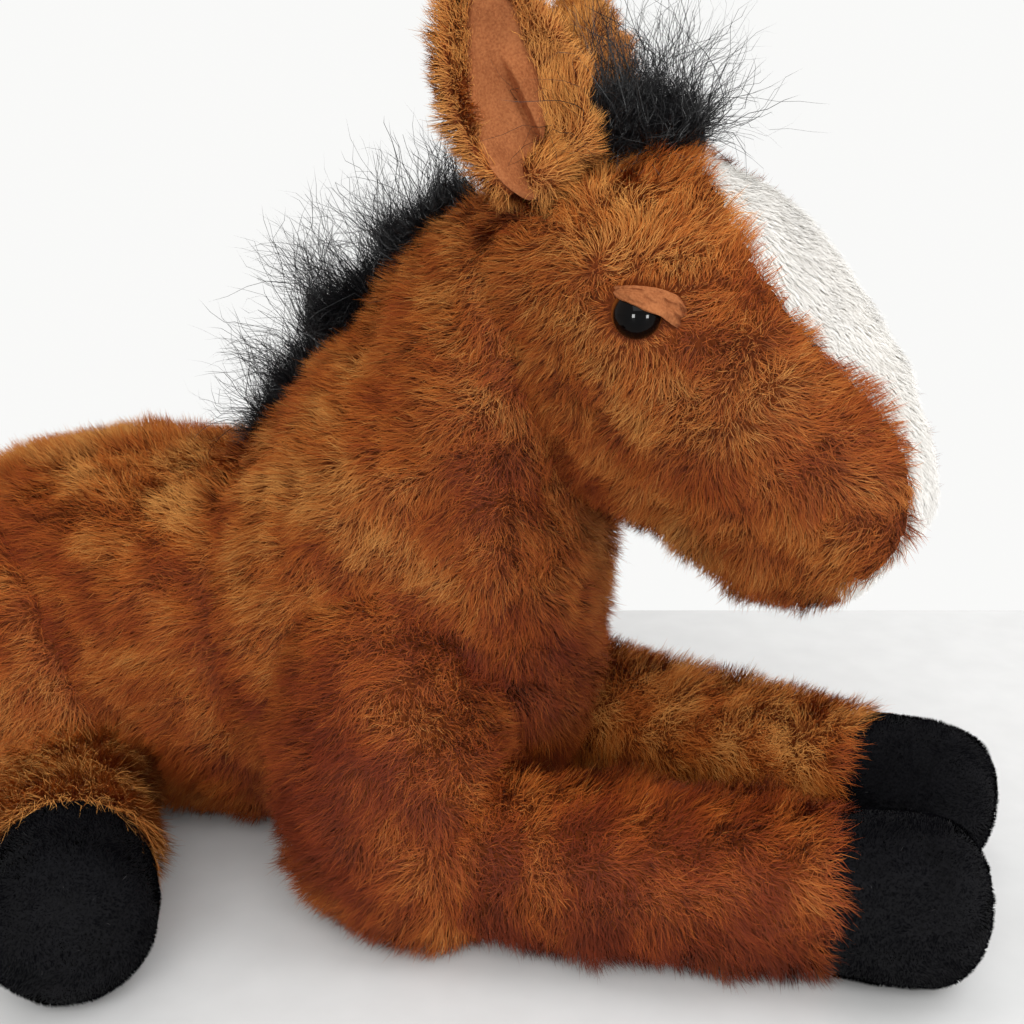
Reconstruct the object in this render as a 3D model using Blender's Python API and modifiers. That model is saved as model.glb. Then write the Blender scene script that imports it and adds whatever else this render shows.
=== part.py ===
"""A plush foal lying down, built as its sewn and stuffed sections.

Metres, +Z up, the foal looks along +X and rests on the plane Z = 0.
Each stuffed section is its fabric skin and its loose fibre filling as one solid.
"""

import math

import bmesh
import bpy
from mathutils import Matrix, Vector

# Fits
gap = 0.0003
sewn_gap = 0.0005
running_gap = 0.001
rest_cut = 0.0005

# Barrel, measured back from the seam ring that joins it to the chest
seam_place = -0.0233
barrel_length = 0.147
barrel_height = 0.132
barrel_half_width = 0.061

# Chest and neck, measured forward from the seam ring
chest_length = 0.108
crest_height = 0.216
chest_half_width = 0.059
neck_ball_radius = 0.028

# Head, along its own axis from the neck joint to the nose
head_length = 0.127
head_depth = 0.084
head_half_width = 0.0455
head_droop = math.radians(39)
nod_limit = math.radians(12)
nod_spare = math.radians(2)

# White face panel
blaze_depth = 0.0035
blaze_half_width = 0.028
blaze_tilt = math.radians(25)
blaze_reach_share = 0.45

# Eyes
eye_radius = 0.007
eye_height = 0.0062
eye_inset = 0.0026
shank_radius = 0.002
shank_length = 0.0115
washer_radius = 0.0062
washer_thickness = 0.0018
fabric_wall = 0.002
lid_thickness = 0.0012
lid_edge_rise = 0.0022
eye_turn = math.radians(14)
eye_lift = math.radians(6)
eye_along_share = 0.17
eye_brow_share = 0.46
eye_spread_share = 0.955

# Ears
ear_length = 0.056
ear_half_width = 0.0165
ear_thickness = 0.0036
ear_root_radius = 0.0075
ear_stem = 0.002
ear_clearance = 0.0028
ear_cup = math.radians(62)
ear_lean_back = math.radians(21)
ear_lean_out = math.radians(13)
ear_face_turn = math.radians(52)
ear_along_share = -0.185
ear_brow_share = 0.56
ear_spread_share = 0.62
ear_base_share = 0.22
ear_point_share = 0.8
ear_tip_share = 0.08
ear_shift_share = 0.45
lining_thickness = 0.0012
lining_share = 0.72
lining_low_share = 0.13
lining_high_share = 0.86

# Fore legs and the shoulders that hold them
fore_leg_radius = 0.026
fore_cuff_radius = 0.0245
fore_leg_length = 0.108
fore_spread = 0.052
fore_cuff_spread = 0.034
elbow_share = 0.74
shoulder_half_length = 0.038
shoulder_half_width = 0.035
shoulder_height = 0.112
shoulder_share = 0.53
leg_lift_limit = math.radians(14)

# Hind legs and the haunches that hold them
haunch_half_length = 0.048
haunch_half_width = 0.030
haunch_height = 0.108
haunch_spread = 0.047
haunch_share = 0.58
stifle_share = 0.42
stifle_spread = 0.050
hind_leg_radius = 0.0245
hind_cuff_radius = 0.024
hind_leg_length = 0.064
hind_splay = math.radians(54)

# Hooves
hoof_radius = 0.0248
hoof_band_length = 0.0225
hoof_sole_bulge = 0.019

# Hair
mane_height = 0.036
mane_half_width = 0.0095
mane_sink = 0.004
forelock_height = 0.040
forelock_half_width = 0.019
forelock_half_depth = 0.0165
forelock_along_share = -0.06
forelock_brow_share = 0.80
tail_length = 0.090
tail_half_width = 0.018
tail_flat_share = 0.72
tail_root_radius = 0.009
tail_place_share = 0.955
tail_rise_share = 0.68

# Mesh density
body_sides = 12
limb_sides = 8
turn_steps = 16
ball_steps = 16
neck_steps = 28
dome_steps = 5
ear_rows = 6
ear_columns = 6
rounding_levels = 1
weld_distance = 0.00001
half = 0.5

colours = {
    "fur": (0.30, 0.115, 0.030, 1.0),
    "blaze": (0.86, 0.85, 0.82, 1.0),
    "hoof": (0.010, 0.010, 0.014, 1.0),
    "suede": (0.46, 0.18, 0.105, 1.0),
    "hair": (0.008, 0.008, 0.010, 1.0),
    "eye": (0.006, 0.004, 0.004, 1.0),
    "washer": (0.75, 0.75, 0.73, 1.0),
}
roughness_of = {"eye": 0.06, "washer": 0.45}

for old in list(bpy.data.objects):
    bpy.data.objects.remove(old, do_unlink=True)

foal = bpy.data.collections.new("plush_horse")
cutters = bpy.data.collections.new("cutters")
bpy.context.scene.collection.children.link(foal)
bpy.context.scene.collection.children.link(cutters)

along_x = Vector((1, 0, 0))
along_y = Vector((0, 1, 0))
up = Vector((0, 0, 1))
sides = {"left": 1, "right": -1}


# Materials and objects
def material(name, kind):
    made = bpy.data.materials.new(name)
    made.use_nodes = True
    shader = made.node_tree.nodes["Principled BSDF"]
    shader.inputs["Base Color"].default_value = colours[kind]
    shader.inputs["Roughness"].default_value = roughness_of.get(kind, 0.95)
    shader.inputs["Metallic"].default_value = 0.0
    made.diffuse_color = colours[kind]
    return made


def place(mesh, name, kind=None):
    made = bpy.data.objects.new(name, mesh)
    if kind is None:
        cutters.objects.link(made)
        made.hide_render = True
        made.display_type = "WIRE"
    else:
        foal.objects.link(made)
        mesh.materials.append(material(name, kind))
    return made


def mesh_from(bm, name):
    bmesh.ops.recalc_face_normals(bm, faces=bm.faces)
    mesh = bpy.data.meshes.new(name)
    bm.to_mesh(mesh)
    bm.free()
    mesh.shade_smooth()
    return mesh


def boolean(target, tool, operation="DIFFERENCE"):
    cut = target.modifiers.new(tool.name, "BOOLEAN")
    cut.operation = operation
    cut.solver = "EXACT"
    cut.object = tool


# Stuffed forms: a cage of rings, rounded by subdivision
def upright_ring(top, bottom, half_width):
    """A ring across the mid plane, from its top point to its bottom point."""
    return ((top + bottom) * half, along_y * half_width, (top - bottom) * half)


def path_ring(centre, heading, half_width, half_height):
    across = up.cross(heading).normalized()
    return (centre, across * half_width, heading.cross(across).normalized() * half_height)


def grown(rings, margin):
    """The same rings, wider by a margin all round and at both ends."""
    wider = []
    for centre, across, rise in rings:
        wider.append((centre, across + across.normalized() * margin, rise + rise.normalized() * margin))
    first_step = (wider[0][0] - wider[1][0]).normalized() * margin
    last_step = (wider[-1][0] - wider[-2][0]).normalized() * margin
    wider[0] = (wider[0][0] + first_step, wider[0][1], wider[0][2])
    wider[-1] = (wider[-1][0] + last_step, wider[-1][1], wider[-1][2])
    return wider


def form(name, rings, kind=None, count=limb_sides):
    """Subdivision draws a ring in, so the cage is wider by what it loses."""
    cage_share = 3 / (2 + math.cos(2 * math.pi / count))
    bm = bmesh.new()
    loops = []
    for centre, across, rise in rings:
        loop = []
        for step in range(count):
            turn = 2 * math.pi * (step + half) / count
            offset = across * math.cos(turn) + rise * math.sin(turn)
            loop.append(bm.verts.new(centre + offset * cage_share))
        loops.append(loop)
    for lower, upper in zip(loops, loops[1:]):
        for step in range(count):
            after = (step + 1) % count
            bm.faces.new((lower[step], lower[after], upper[after], upper[step]))
    bm.faces.new(loops[0])
    bm.faces.new(loops[-1])
    made = place(mesh_from(bm, name), name, kind)
    rounding = made.modifiers.new("rounding", "SUBSURF")
    rounding.levels = rounding_levels
    rounding.render_levels = rounding_levels
    return made


# Plain tools
def ball(name, centre, radius, steps=ball_steps):
    bm = bmesh.new()
    bmesh.ops.create_uvsphere(bm, u_segments=steps, v_segments=steps // 2, radius=radius)
    mesh = mesh_from(bm, name)
    mesh.transform(Matrix.Translation(centre))
    return place(mesh, name)


def block(name, size, matrix):
    bm = bmesh.new()
    bmesh.ops.create_cube(bm, size=1)
    bmesh.ops.scale(bm, vec=size, verts=bm.verts)
    mesh = mesh_from(bm, name)
    mesh.transform(matrix)
    return place(mesh, name)


def turned(name, profile, matrix, kind=None):
    """A profile of (radius, height) points, top to bottom, turned about its own Z."""
    bm = bmesh.new()
    points = [bm.verts.new((radius, 0, height)) for radius, height in profile]
    for first, second in zip(points, points[1:]):
        bm.edges.new((first, second))
    mesh = bpy.data.meshes.new(name)
    bm.to_mesh(mesh)
    bm.free()
    made = place(mesh, name, kind)
    made.matrix_world = matrix
    screw = made.modifiers.new("turn", "SCREW")
    screw.steps = turn_steps
    screw.render_steps = turn_steps
    screw.use_merge_vertices = True
    screw.merge_threshold = weld_distance
    screw.use_smooth_shade = True
    return made


def ring_profile(inner, outer, top, bottom):
    return [(inner, top), (outer, top), (outer, bottom), (inner, bottom), (inner, top)]


def plate(name, outline, depth, matrix):
    """A flat outline in its own XY plane, as thick as the depth each way."""
    curve = bpy.data.curves.new(name, "CURVE")
    curve.dimensions = "2D"
    curve.fill_mode = "BOTH"
    curve.extrude = depth
    spline = curve.splines.new("POLY")
    spline.points.add(len(outline) - 1)
    for point, (across, along) in zip(spline.points, outline):
        point.co = (across, along, 0, 1)
    spline.use_cyclic_u = True
    drawn = bpy.data.objects.new(name, curve)
    cutters.objects.link(drawn)
    drawn.matrix_world = matrix
    view = bpy.context.evaluated_depsgraph_get()
    mesh = bpy.data.meshes.new_from_object(drawn.evaluated_get(view))
    bpy.data.objects.remove(drawn, do_unlink=True)
    bm = bmesh.new()
    bm.from_mesh(mesh)
    bmesh.ops.remove_doubles(bm, verts=bm.verts, dist=weld_distance)
    bmesh.ops.recalc_face_normals(bm, faces=bm.faces)
    bm.to_mesh(mesh)
    bm.free()
    made = place(mesh, name)
    made.matrix_world = matrix
    return made


def facing(point, direction, roll_to=up):
    """A matrix at a point whose own Z runs along a direction."""
    forward = direction.normalized()
    across = roll_to.cross(forward).normalized()
    matrix = Matrix((across, forward.cross(across), forward)).transposed().to_4x4()
    matrix.translation = point
    return matrix


def half_space(name, point, outward):
    """A block whose near face passes through a point; it fills the outward side."""
    reach = barrel_length + chest_length + crest_height
    middle = point + outward.normalized() * reach * half
    return block(name, (reach, reach, reach), facing(middle, outward, along_y))


def on_floor(thing):
    boolean(thing, floor_cutter)


# Trunk: two sewn sections that meet at the seam ring
def barrel_rings(margin=0.0):
    """Shares of the barrel's length, its height to the back, its underside and its half width."""
    table_shares = [
        (-0.16, 0.99, 0.00, 0.95),
        (0.10, 1.005, 0.00, 0.98),
        (0.34, 0.995, 0.00, 1.00),
        (0.58, 0.975, 0.00, 1.00),
        (0.78, 0.900, 0.03, 0.92),
        (0.93, 0.775, 0.11, 0.72),
        (1.00, 0.640, 0.26, 0.42),
    ]
    rings = []
    for back, top, bottom, width in table_shares:
        x = seam_place - back * barrel_length
        high = Vector((x, 0, top * barrel_height))
        low = Vector((x, 0, bottom * barrel_height - rest_cut))
        rings.append(upright_ring(high, low, width * barrel_half_width))
    return grown(rings, margin)


def chest_rings(margin=0.0):
    """A fan of rings that turns from the barrel up into the neck.

    Shares of the chest's length and the crest's height for the top point, then for the bottom
    point, and a share of the chest's half width.
    """
    table_shares = [
        (-0.24, 0.605, -0.24, 0.000, 0.96),
        (-0.07, 0.622, -0.04, 0.000, 0.98),
        (0.10, 0.725, 0.28, 0.000, 1.00),
        (0.27, 0.818, 0.68, 0.020, 0.95),
        (0.41, 0.895, 0.93, 0.200, 0.84),
        (0.52, 0.950, 0.95, 0.400, 0.745),
        (0.60, 0.990, 0.92, 0.570, 0.69),
        (0.67, 1.030, 0.94, 0.670, 0.66),
    ]
    rings = []
    for top_x, top_z, bottom_x, bottom_z, width in table_shares:
        high = Vector((seam_place + top_x * chest_length, 0, top_z * crest_height))
        low = Vector((seam_place + bottom_x * chest_length, 0, bottom_z * crest_height - rest_cut))
        rings.append(upright_ring(high, low, width * chest_half_width))
    return grown(rings, margin)


neck_end = chest_rings()[-2]
neck_joint = neck_end[0]
neck_facing = neck_end[2].cross(neck_end[1]).normalized()
if neck_facing.x < 0:
    neck_facing = -neck_facing
floor_cutter = half_space("floor", Vector((0, 0, 0)), -up)


def make_trunk():
    barrel_margin = form("barrel_margin", barrel_rings(sewn_gap), None, body_sides)
    chest_margin = form("chest_margin", chest_rings(sewn_gap), None, body_sides)
    rear = form("rear_torso", barrel_rings(), "fur", body_sides)
    boolean(rear, half_space("seam_front", Vector((seam_place - gap * half, 0, 0)), along_x))
    on_floor(rear)
    front = form("front_torso", chest_rings(), "fur", body_sides)
    boolean(front, half_space("seam_back", Vector((seam_place + gap * half, 0, 0)), -along_x))
    boolean(front, half_space("neck_end", neck_joint, neck_facing))
    boolean(front, ball("neck_ball", neck_joint, neck_ball_radius, neck_steps), "UNION")
    on_floor(front)
    return {"rear": rear, "front": front, "barrel_margin": barrel_margin, "chest_margin": chest_margin}


# Head: its own axes run from the neck joint, along to the nose and across to the brow
nose_ward = Vector((math.cos(head_droop), 0, -math.sin(head_droop)))
brow_ward = Vector((math.sin(head_droop), 0, math.cos(head_droop)))


def head_point(along_share, brow_share, across=0.0):
    """A point at shares of the head's length and depth, and a real distance across."""
    along = nose_ward * along_share * head_length
    rise = brow_ward * brow_share * head_depth
    return neck_joint + along + rise + along_y * across


def head_rings(margin=0.0):
    """Shares along the head, of its depth at the brow side and the jaw side, and of its half width."""
    table_shares = [
        (-0.30, 0.56, 0.18, 0.52),
        (-0.12, 0.82, -0.05, 0.86),
        (0.09, 0.985, -0.21, 1.00),
        (0.31, 1.00, -0.27, 0.99),
        (0.52, 0.885, -0.20, 0.84),
        (0.72, 0.795, -0.14, 0.74),
        (0.87, 0.700, -0.04, 0.67),
        (0.97, 0.530, 0.12, 0.50),
    ]
    rings = []
    for along, brow, jaw, width in table_shares:
        rings.append(upright_ring(head_point(along, brow), head_point(along, jaw), width * head_half_width))
    return grown(rings, margin)


blaze_facing = (brow_ward * math.cos(blaze_tilt) + nose_ward * math.sin(blaze_tilt)).normalized()
blaze_down = (nose_ward * math.cos(blaze_tilt) - brow_ward * math.sin(blaze_tilt)).normalized()


def blaze_prism(name, margin):
    """The panel's outline from the forelock to the lip, run through the head's brow side.

    Shares of the head's length down the face and of the panel's half width.
    """
    table_shares = [
        (-0.25, 0.10), (-0.17, 0.42), (-0.08, 0.86), (0.03, 1.00), (0.15, 0.97),
        (0.28, 0.82), (0.44, 0.72), (0.60, 0.80), (0.72, 0.92), (0.92, 0.95),
    ]
    right = [(width * blaze_half_width + margin, -down * head_length) for down, width in table_shares]
    right[0] = (right[0][0], right[0][1] + margin)
    left = [(-across, along) for across, along in reversed(right)]
    matrix = Matrix((along_y, -blaze_down, blaze_facing)).transposed().to_4x4()
    matrix.translation = neck_joint + blaze_facing * head_depth
    return plate(name, right + left, head_depth * blaze_reach_share, matrix)


def make_head(pivot):
    head = form("head", head_rings(), "fur", body_sides)
    relief = math.tan(nod_limit + nod_spare)
    profile = [(0, 0), (head_depth, head_depth * relief), (head_depth, -head_length), (0, -head_length)]
    boolean(head, turned("neck_relief", profile, facing(neck_joint, neck_facing, along_y)))
    boolean(head, ball("neck_socket", neck_joint, neck_ball_radius + sewn_gap, neck_steps))
    pocket = blaze_prism("blaze_pocket", gap)
    boolean(pocket, form("head_core", head_rings(-blaze_depth - gap), None, body_sides))
    boolean(head, pocket)
    blaze = form("blaze", head_rings(), "blaze", body_sides)
    boolean(blaze, blaze_prism("blaze_outline", 0), "INTERSECT")
    boolean(blaze, form("blaze_back", head_rings(-blaze_depth), None, body_sides))
    carry(head, pivot)
    carry(blaze, pivot)
    return head


# Eyes: a domed button with a shank, a washer that grips it inside, and a lid over it
def make_eye(head, pivot, side, name):
    outward = along_y * side * math.cos(eye_turn) + nose_ward * math.sin(eye_turn)
    outward = (outward * math.cos(eye_lift) + brow_ward * math.sin(eye_lift)).normalized()
    surface = head_point(eye_along_share, eye_brow_share, side * head_half_width * eye_spread_share)
    seat = facing(surface - outward * eye_inset, outward, brow_ward)
    lid_inner = eye_radius + gap
    lid_outer = lid_inner + lid_thickness
    bore = shank_radius + gap
    washer_top = -fabric_wall - gap
    washer_bottom = washer_top - washer_thickness
    hollow = [
        (0, head_half_width),
        (lid_outer + gap, head_half_width),
        (lid_outer + gap, 0),
        (bore, 0),
        (bore, -fabric_wall),
        (washer_radius + gap, -fabric_wall),
        (washer_radius + gap, washer_bottom - gap),
        (bore, washer_bottom - gap),
        (bore, -shank_length - gap),
        (0, -shank_length - gap),
    ]
    boolean(head, turned("eye_hollow_" + name, hollow, seat))
    quarter = [math.pi * half * step / dome_steps for step in range(dome_steps + 1)]
    dome = [(eye_radius * math.sin(a), gap + eye_height * math.cos(a)) for a in quarter]
    dome[0] = (0, dome[0][1])
    stem = [(shank_radius, gap), (shank_radius, -shank_length), (0, -shank_length)]
    eye = turned("eye_" + name, dome + stem, seat, "eye")
    washer_points = ring_profile(bore, washer_radius, washer_top, washer_bottom)
    washer = turned("eye_washer_" + name, washer_points, seat, "washer")
    outer = [(lid_outer * math.sin(a), gap + (eye_height + gap + lid_thickness) * math.cos(a)) for a in quarter]
    inner = [(lid_inner * math.sin(a), gap + (eye_height + gap) * math.cos(a)) for a in reversed(quarter)]
    outer[0] = (0, outer[0][1])
    inner[-1] = (0, inner[-1][1])
    lid = turned("eyelid_" + name, outer + inner, seat, "suede")
    edge = seat.translation + brow_ward * lid_edge_rise
    boolean(lid, half_space("lid_edge_" + name, edge, -brow_ward))
    for piece in (eye, washer, lid):
        carry(piece, pivot)


# Ears: a cupped leaf of fur fabric with a suede lining, on a small stuffed root
def ear_frame(side):
    root = head_point(ear_along_share, ear_brow_share, side * head_half_width * ear_spread_share)
    rise = Vector((-math.sin(ear_lean_back), side * math.sin(ear_lean_out), 1)).normalized()
    face = Vector((math.cos(ear_face_turn), side * math.sin(ear_face_turn), 0))
    face = (face - rise * face.dot(rise)).normalized()
    return root, rise, face, rise.cross(face)


def ear_leaf(name, side, offset, across_share, low, high):
    """An open cupped leaf; the offset moves it into the cup."""
    root, rise, face, across = ear_frame(side)
    depth_shift = ear_half_width * ear_shift_share
    bm = bmesh.new()
    grid = []
    for row in range(ear_rows + 1):
        along = low + (high - low) * row / ear_rows
        width_share = math.sin(math.pi * (ear_base_share + (1 - ear_base_share) * along)) ** ear_point_share
        reach = max(ear_half_width * width_share, ear_half_width * ear_tip_share) / math.sin(ear_cup)
        line = []
        for column in range(ear_columns + 1):
            turn = ear_cup * across_share * (2 * column / ear_columns - 1)
            out = across * (reach - offset) * math.sin(turn) - face * (reach - offset) * math.cos(turn)
            centre = root + rise * (ear_stem + along * ear_length) + face * (reach * math.cos(ear_cup) + depth_shift)
            line.append(bm.verts.new(centre + out))
        grid.append(line)
    for lower, upper in zip(grid, grid[1:]):
        for column in range(ear_columns):
            corners = (lower[column], lower[column + 1], upper[column + 1], upper[column])
            bm.faces.new(corners)
    bm.normal_update()
    middle = bm.faces[:][len(bm.faces) // 2]
    if middle.normal.dot(face) < 0:
        bmesh.ops.reverse_faces(bm, faces=bm.faces)
    mesh = bpy.data.meshes.new(name)
    bm.to_mesh(mesh)
    bm.free()
    mesh.shade_smooth()
    return mesh


def make_ear(head, clearance, pivot, side, name):
    """The leaf starts clear of the head, so that it can tip on its root."""
    root = ear_frame(side)[0]
    boolean(head, ball("ear_socket_" + name, root, ear_root_radius + gap))
    ear = place(ear_leaf("ear_" + name, side, 0, 1, 0, 1), "ear_" + name, "fur")
    backing = ear.modifiers.new("thickness", "SOLIDIFY")
    backing.thickness = ear_thickness
    backing.offset = -1
    boolean(ear, clearance)
    boolean(ear, ball("ear_root_" + name, root, ear_root_radius), "UNION")
    into_cup = gap + gap + lining_thickness
    leaf = ear_leaf("ear_lining_" + name, side, into_cup, lining_share, lining_low_share, lining_high_share)
    lining = place(leaf, "ear_lining_" + name, "suede")
    cloth = lining.modifiers.new("thickness", "SOLIDIFY")
    cloth.thickness = lining_thickness
    cloth.offset = -1
    boolean(lining, clearance)
    ear_pivot = make_pivot("ear_pivot_" + name, root)
    carry(ear, ear_pivot)
    carry(lining, ear_pivot)
    carry(ear_pivot, pivot)


# Limbs: a stuffed sleeve on a round root, a hoof sewn to its cuff and a sole sewn to the hoof
def limb_rings(root, heading, length, root_radius, cuff_radius, margin=0.0):
    """Shares of the root's radius behind it, then of the sleeve's length ahead of it."""
    root_shares = [(-0.84, 0.46), (-0.50, 0.84)]
    sleeve_shares = [(0.0, 0.0), (0.28, 0.2), (0.62, 0.7), (0.9, 1.0), (1.2, 1.0)]
    rings = []
    for back, width in root_shares:
        reach = root_radius * width
        rings.append(path_ring(root + heading * root_radius * back, heading, reach, reach))
    for ahead, taper in sleeve_shares:
        reach = root_radius + (cuff_radius - root_radius) * taper
        centre = root + heading * length * ahead - up * (root_radius - reach)
        rings.append(path_ring(centre, heading, reach, reach))
    return grown(rings, margin)


def lifted(rings, root, heading):
    """The space that a sleeve sweeps while it lifts about its root."""
    swept = []
    for centre, across, rise in rings:
        ahead = max((centre - root).dot(heading), 0)
        extra = ahead * math.tan(leg_lift_limit) + rise.length * (1 / math.cos(leg_lift_limit) - 1)
        swept.append((centre + up * extra * half, across, rise + up * extra * half))
    return swept


def hoof_rings(cuff, heading):
    """Shares of the band's length from the cuff, then of the sole's bulge past the band."""
    band_shares = [(-0.4, 0.90), (0.0, 0.955), (0.5, 0.99), (0.95, 1.0)]
    bulge_shares = [(0.36, 0.93), (0.74, 0.70), (1.0, 0.36)]
    rings = []
    for along, width in band_shares:
        reach = hoof_radius * width
        rings.append(path_ring(cuff + heading * hoof_band_length * along, heading, reach, reach))
    for bulge, width in bulge_shares:
        reach = hoof_radius * width
        ahead = hoof_band_length + hoof_sole_bulge * bulge
        rings.append(path_ring(cuff + heading * ahead, heading, reach, reach))
    return rings


def make_leg(kind, side, name, root, heading, length, root_radius, cuff_radius, holders):
    """The holders are the sections that the sleeve's round root is sewn into."""
    label = kind + "_" + name
    rings = limb_rings(root, heading, length, root_radius, cuff_radius)
    seat = ball("seat_" + label, root, root_radius + gap)
    sweep_rings = lifted(limb_rings(root, heading, length, root_radius, cuff_radius, running_gap), root, heading)
    sweep = form("sweep_" + label, sweep_rings)
    for holder in holders:
        boolean(holder, seat)
        boolean(holder, sweep)
    cuff = root + heading * length - up * (root_radius - hoof_radius)
    pivot = make_pivot(label + "_pivot", root)
    leg = form(kind + "_leg_" + name, rings, "fur")
    boolean(leg, half_space("cuff_" + label, cuff - heading * gap * half, heading))
    sole_place = cuff + heading * hoof_band_length
    band = form(kind + "_hoof_" + name, hoof_rings(cuff, heading), "hoof")
    boolean(band, half_space("band_back_" + label, cuff + heading * gap * half, -heading))
    boolean(band, half_space("band_front_" + label, sole_place - heading * gap * half, heading))
    sole = form(kind + "_sole_" + name, hoof_rings(cuff, heading), "hoof")
    boolean(sole, half_space("sole_back_" + label, sole_place + heading * gap * half, -heading))
    for piece in (leg, band, sole):
        on_floor(piece)
        carry(piece, pivot)


def stacked_rings(table_shares, foot, half_length, half_width, height, side):
    """Level rings stacked up from the floor.

    Shares: height, shift forward of the half length, shift in towards the trunk of the half
    width, then half length and half width.
    """
    rings = []
    for level, forward, inward, length, width in table_shares:
        centre = foot + Vector((forward * half_length, -side * inward * half_width, level * height - rest_cut))
        rings.append((centre, along_y * width * half_width, along_x * length * half_length))
    return rings


def make_fore_quarter(trunk, side, name):
    foot = Vector((seam_place + shoulder_share * chest_length, side * fore_spread, 0))
    table_shares = [
        (-0.015, 0.20, 0.06, 0.72, 0.72),
        (0.14, 0.12, 0.03, 0.94, 0.96),
        (0.40, -0.05, 0.08, 1.0, 1.0),
        (0.64, -0.16, 0.22, 0.92, 0.92),
        (0.86, -0.28, 0.42, 0.72, 0.72),
        (1.0, -0.34, 0.56, 0.44, 0.46),
    ]
    rings = stacked_rings(table_shares, foot, shoulder_half_length, shoulder_half_width, shoulder_height, side)
    shoulder = form("shoulder_" + name, rings, "fur")
    boolean(shoulder, trunk["chest_margin"])
    boolean(shoulder, half_space("shoulder_seam_" + name, Vector((seam_place + gap, 0, 0)), -along_x))
    root = Vector((seam_place + elbow_share * chest_length, side * fore_spread, fore_leg_radius - rest_cut))
    heading = Vector((fore_leg_length, side * (fore_cuff_spread - fore_spread), 0)).normalized()
    make_leg("fore", side, name, root, heading, fore_leg_length, fore_leg_radius, fore_cuff_radius,
             (shoulder, trunk["front"]))
    on_floor(shoulder)


def make_hind_quarter(trunk, side, name):
    foot = Vector((seam_place - haunch_share * barrel_length, side * haunch_spread, 0))
    table_shares = [
        (-0.015, 0.0, 0.0, 0.78, 0.68),
        (0.16, 0.0, 0.0, 0.97, 0.96),
        (0.42, 0.0, 0.0, 1.0, 1.0),
        (0.68, -0.02, 0.08, 0.92, 0.90),
        (0.88, -0.04, 0.28, 0.68, 0.64),
        (1.0, -0.06, 0.44, 0.42, 0.36),
    ]
    rings = stacked_rings(table_shares, foot, haunch_half_length, haunch_half_width, haunch_height, side)
    haunch = form("haunch_" + name, rings, "fur")
    boolean(haunch, trunk["barrel_margin"])
    root_x = seam_place - stifle_share * barrel_length
    root = Vector((root_x, side * stifle_spread, hind_leg_radius - rest_cut))
    heading = Vector((math.cos(hind_splay), side * math.sin(hind_splay), 0))
    make_leg("hind", side, name, root, heading, hind_leg_length, hind_leg_radius, hind_cuff_radius,
             (haunch, trunk["rear"]))
    on_floor(haunch)


# Hair: solid tufts of the outer shape of the mane, the forelock and the tail
def make_mane(trunk):
    tops = [centre + rise for centre, across, rise in chest_rings()]
    low, high = tops[1], tops[-3]
    crest = (high - low).normalized()
    stand = along_y.cross(-crest).normalized()
    crest_shares = [(-0.06, 0.42), (0.06, 0.82), (0.32, 1.0), (0.62, 0.98), (0.9, 0.80), (1.0, 0.46)]
    rings = []
    for along, height in crest_shares:
        rise = stand * mane_height * height * half
        centre = low.lerp(high, along) + rise - stand * mane_sink
        rings.append((centre, along_y * mane_half_width, rise))
    mane = form("mane", rings, "hair")
    boolean(mane, trunk["chest_margin"])
    boolean(mane, trunk["barrel_margin"])


def make_forelock(head, pivot):
    base = head_point(forelock_along_share, forelock_brow_share)
    lock_shares = [(0.0, 0.0, 0.80), (0.25, 0.04, 0.98), (0.55, 0.24, 1.0), (0.85, 0.5, 0.84), (1.0, 0.6, 0.48)]
    rings = []
    for level, back, width in lock_shares:
        centre = base + up * forelock_height * level - along_x * forelock_half_depth * back
        rings.append((centre, along_y * forelock_half_width * width, along_x * forelock_half_depth * width))
    forelock = form("forelock", rings, "hair")
    boolean(forelock, form("head_margin", head_rings(sewn_gap), None, body_sides))
    carry(forelock, pivot)


def make_tail(trunk):
    root = Vector((seam_place - tail_place_share * barrel_length, 0, tail_rise_share * barrel_height))
    table_shares = [
        (0.00, 0.00, 0.50),
        (0.14, 0.02, 0.62),
        (0.25, -0.12, 0.80),
        (0.30, -0.36, 0.98),
        (0.31, -0.64, 1.0),
        (0.34, -0.88, 0.80),
        (0.37, -1.00, 0.50),
    ]
    centres = [root + Vector((-back * tail_length, 0, drop * root.z)) for back, drop, width in table_shares]
    rings = []
    for index, (back, drop, width) in enumerate(table_shares):
        before = centres[max(index - 1, 0)]
        after = centres[min(index + 1, len(centres) - 1)]
        heading = (after - before).normalized()
        thick = tail_half_width * width
        rise = heading.cross(along_y).normalized()
        rings.append((centres[index], along_y * thick, rise * thick * tail_flat_share))
    tail = form("tail", rings, "hair")
    boolean(tail, form("tail_space", barrel_rings(running_gap), None, body_sides))
    boolean(tail, ball("tail_root", root, tail_root_radius), "UNION")
    on_floor(tail)
    boolean(trunk["rear"], ball("tail_socket", root, tail_root_radius + sewn_gap))
    carry(tail, make_pivot("tail_pivot", root))


def make_pivot(name, point):
    pivot = bpy.data.objects.new(name, None)
    pivot.location = point
    foal.objects.link(pivot)
    return pivot


def carry(thing, pivot):
    """Hang a piece on its joint without moving it."""
    thing.parent = pivot
    thing.matrix_parent_inverse = Matrix.Translation(-pivot_place(pivot))


def pivot_place(pivot):
    place_in_world = pivot.location.copy()
    if pivot.parent is not None:
        place_in_world = pivot.parent.matrix_world.translation + place_in_world
    return place_in_world


def make_foal():
    trunk = make_trunk()
    ear_space = form("ear_space", head_rings(ear_clearance), None, body_sides)
    head_pivot = make_pivot("head_pivot", neck_joint)
    head = make_head(head_pivot)
    make_forelock(head, head_pivot)
    make_mane(trunk)
    make_tail(trunk)
    for name, side in sides.items():
        make_eye(head, head_pivot, side, name)
        make_ear(head, ear_space, head_pivot, side, name)
        make_fore_quarter(trunk, side, name)
        make_hind_quarter(trunk, side, name)


make_foal()
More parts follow.
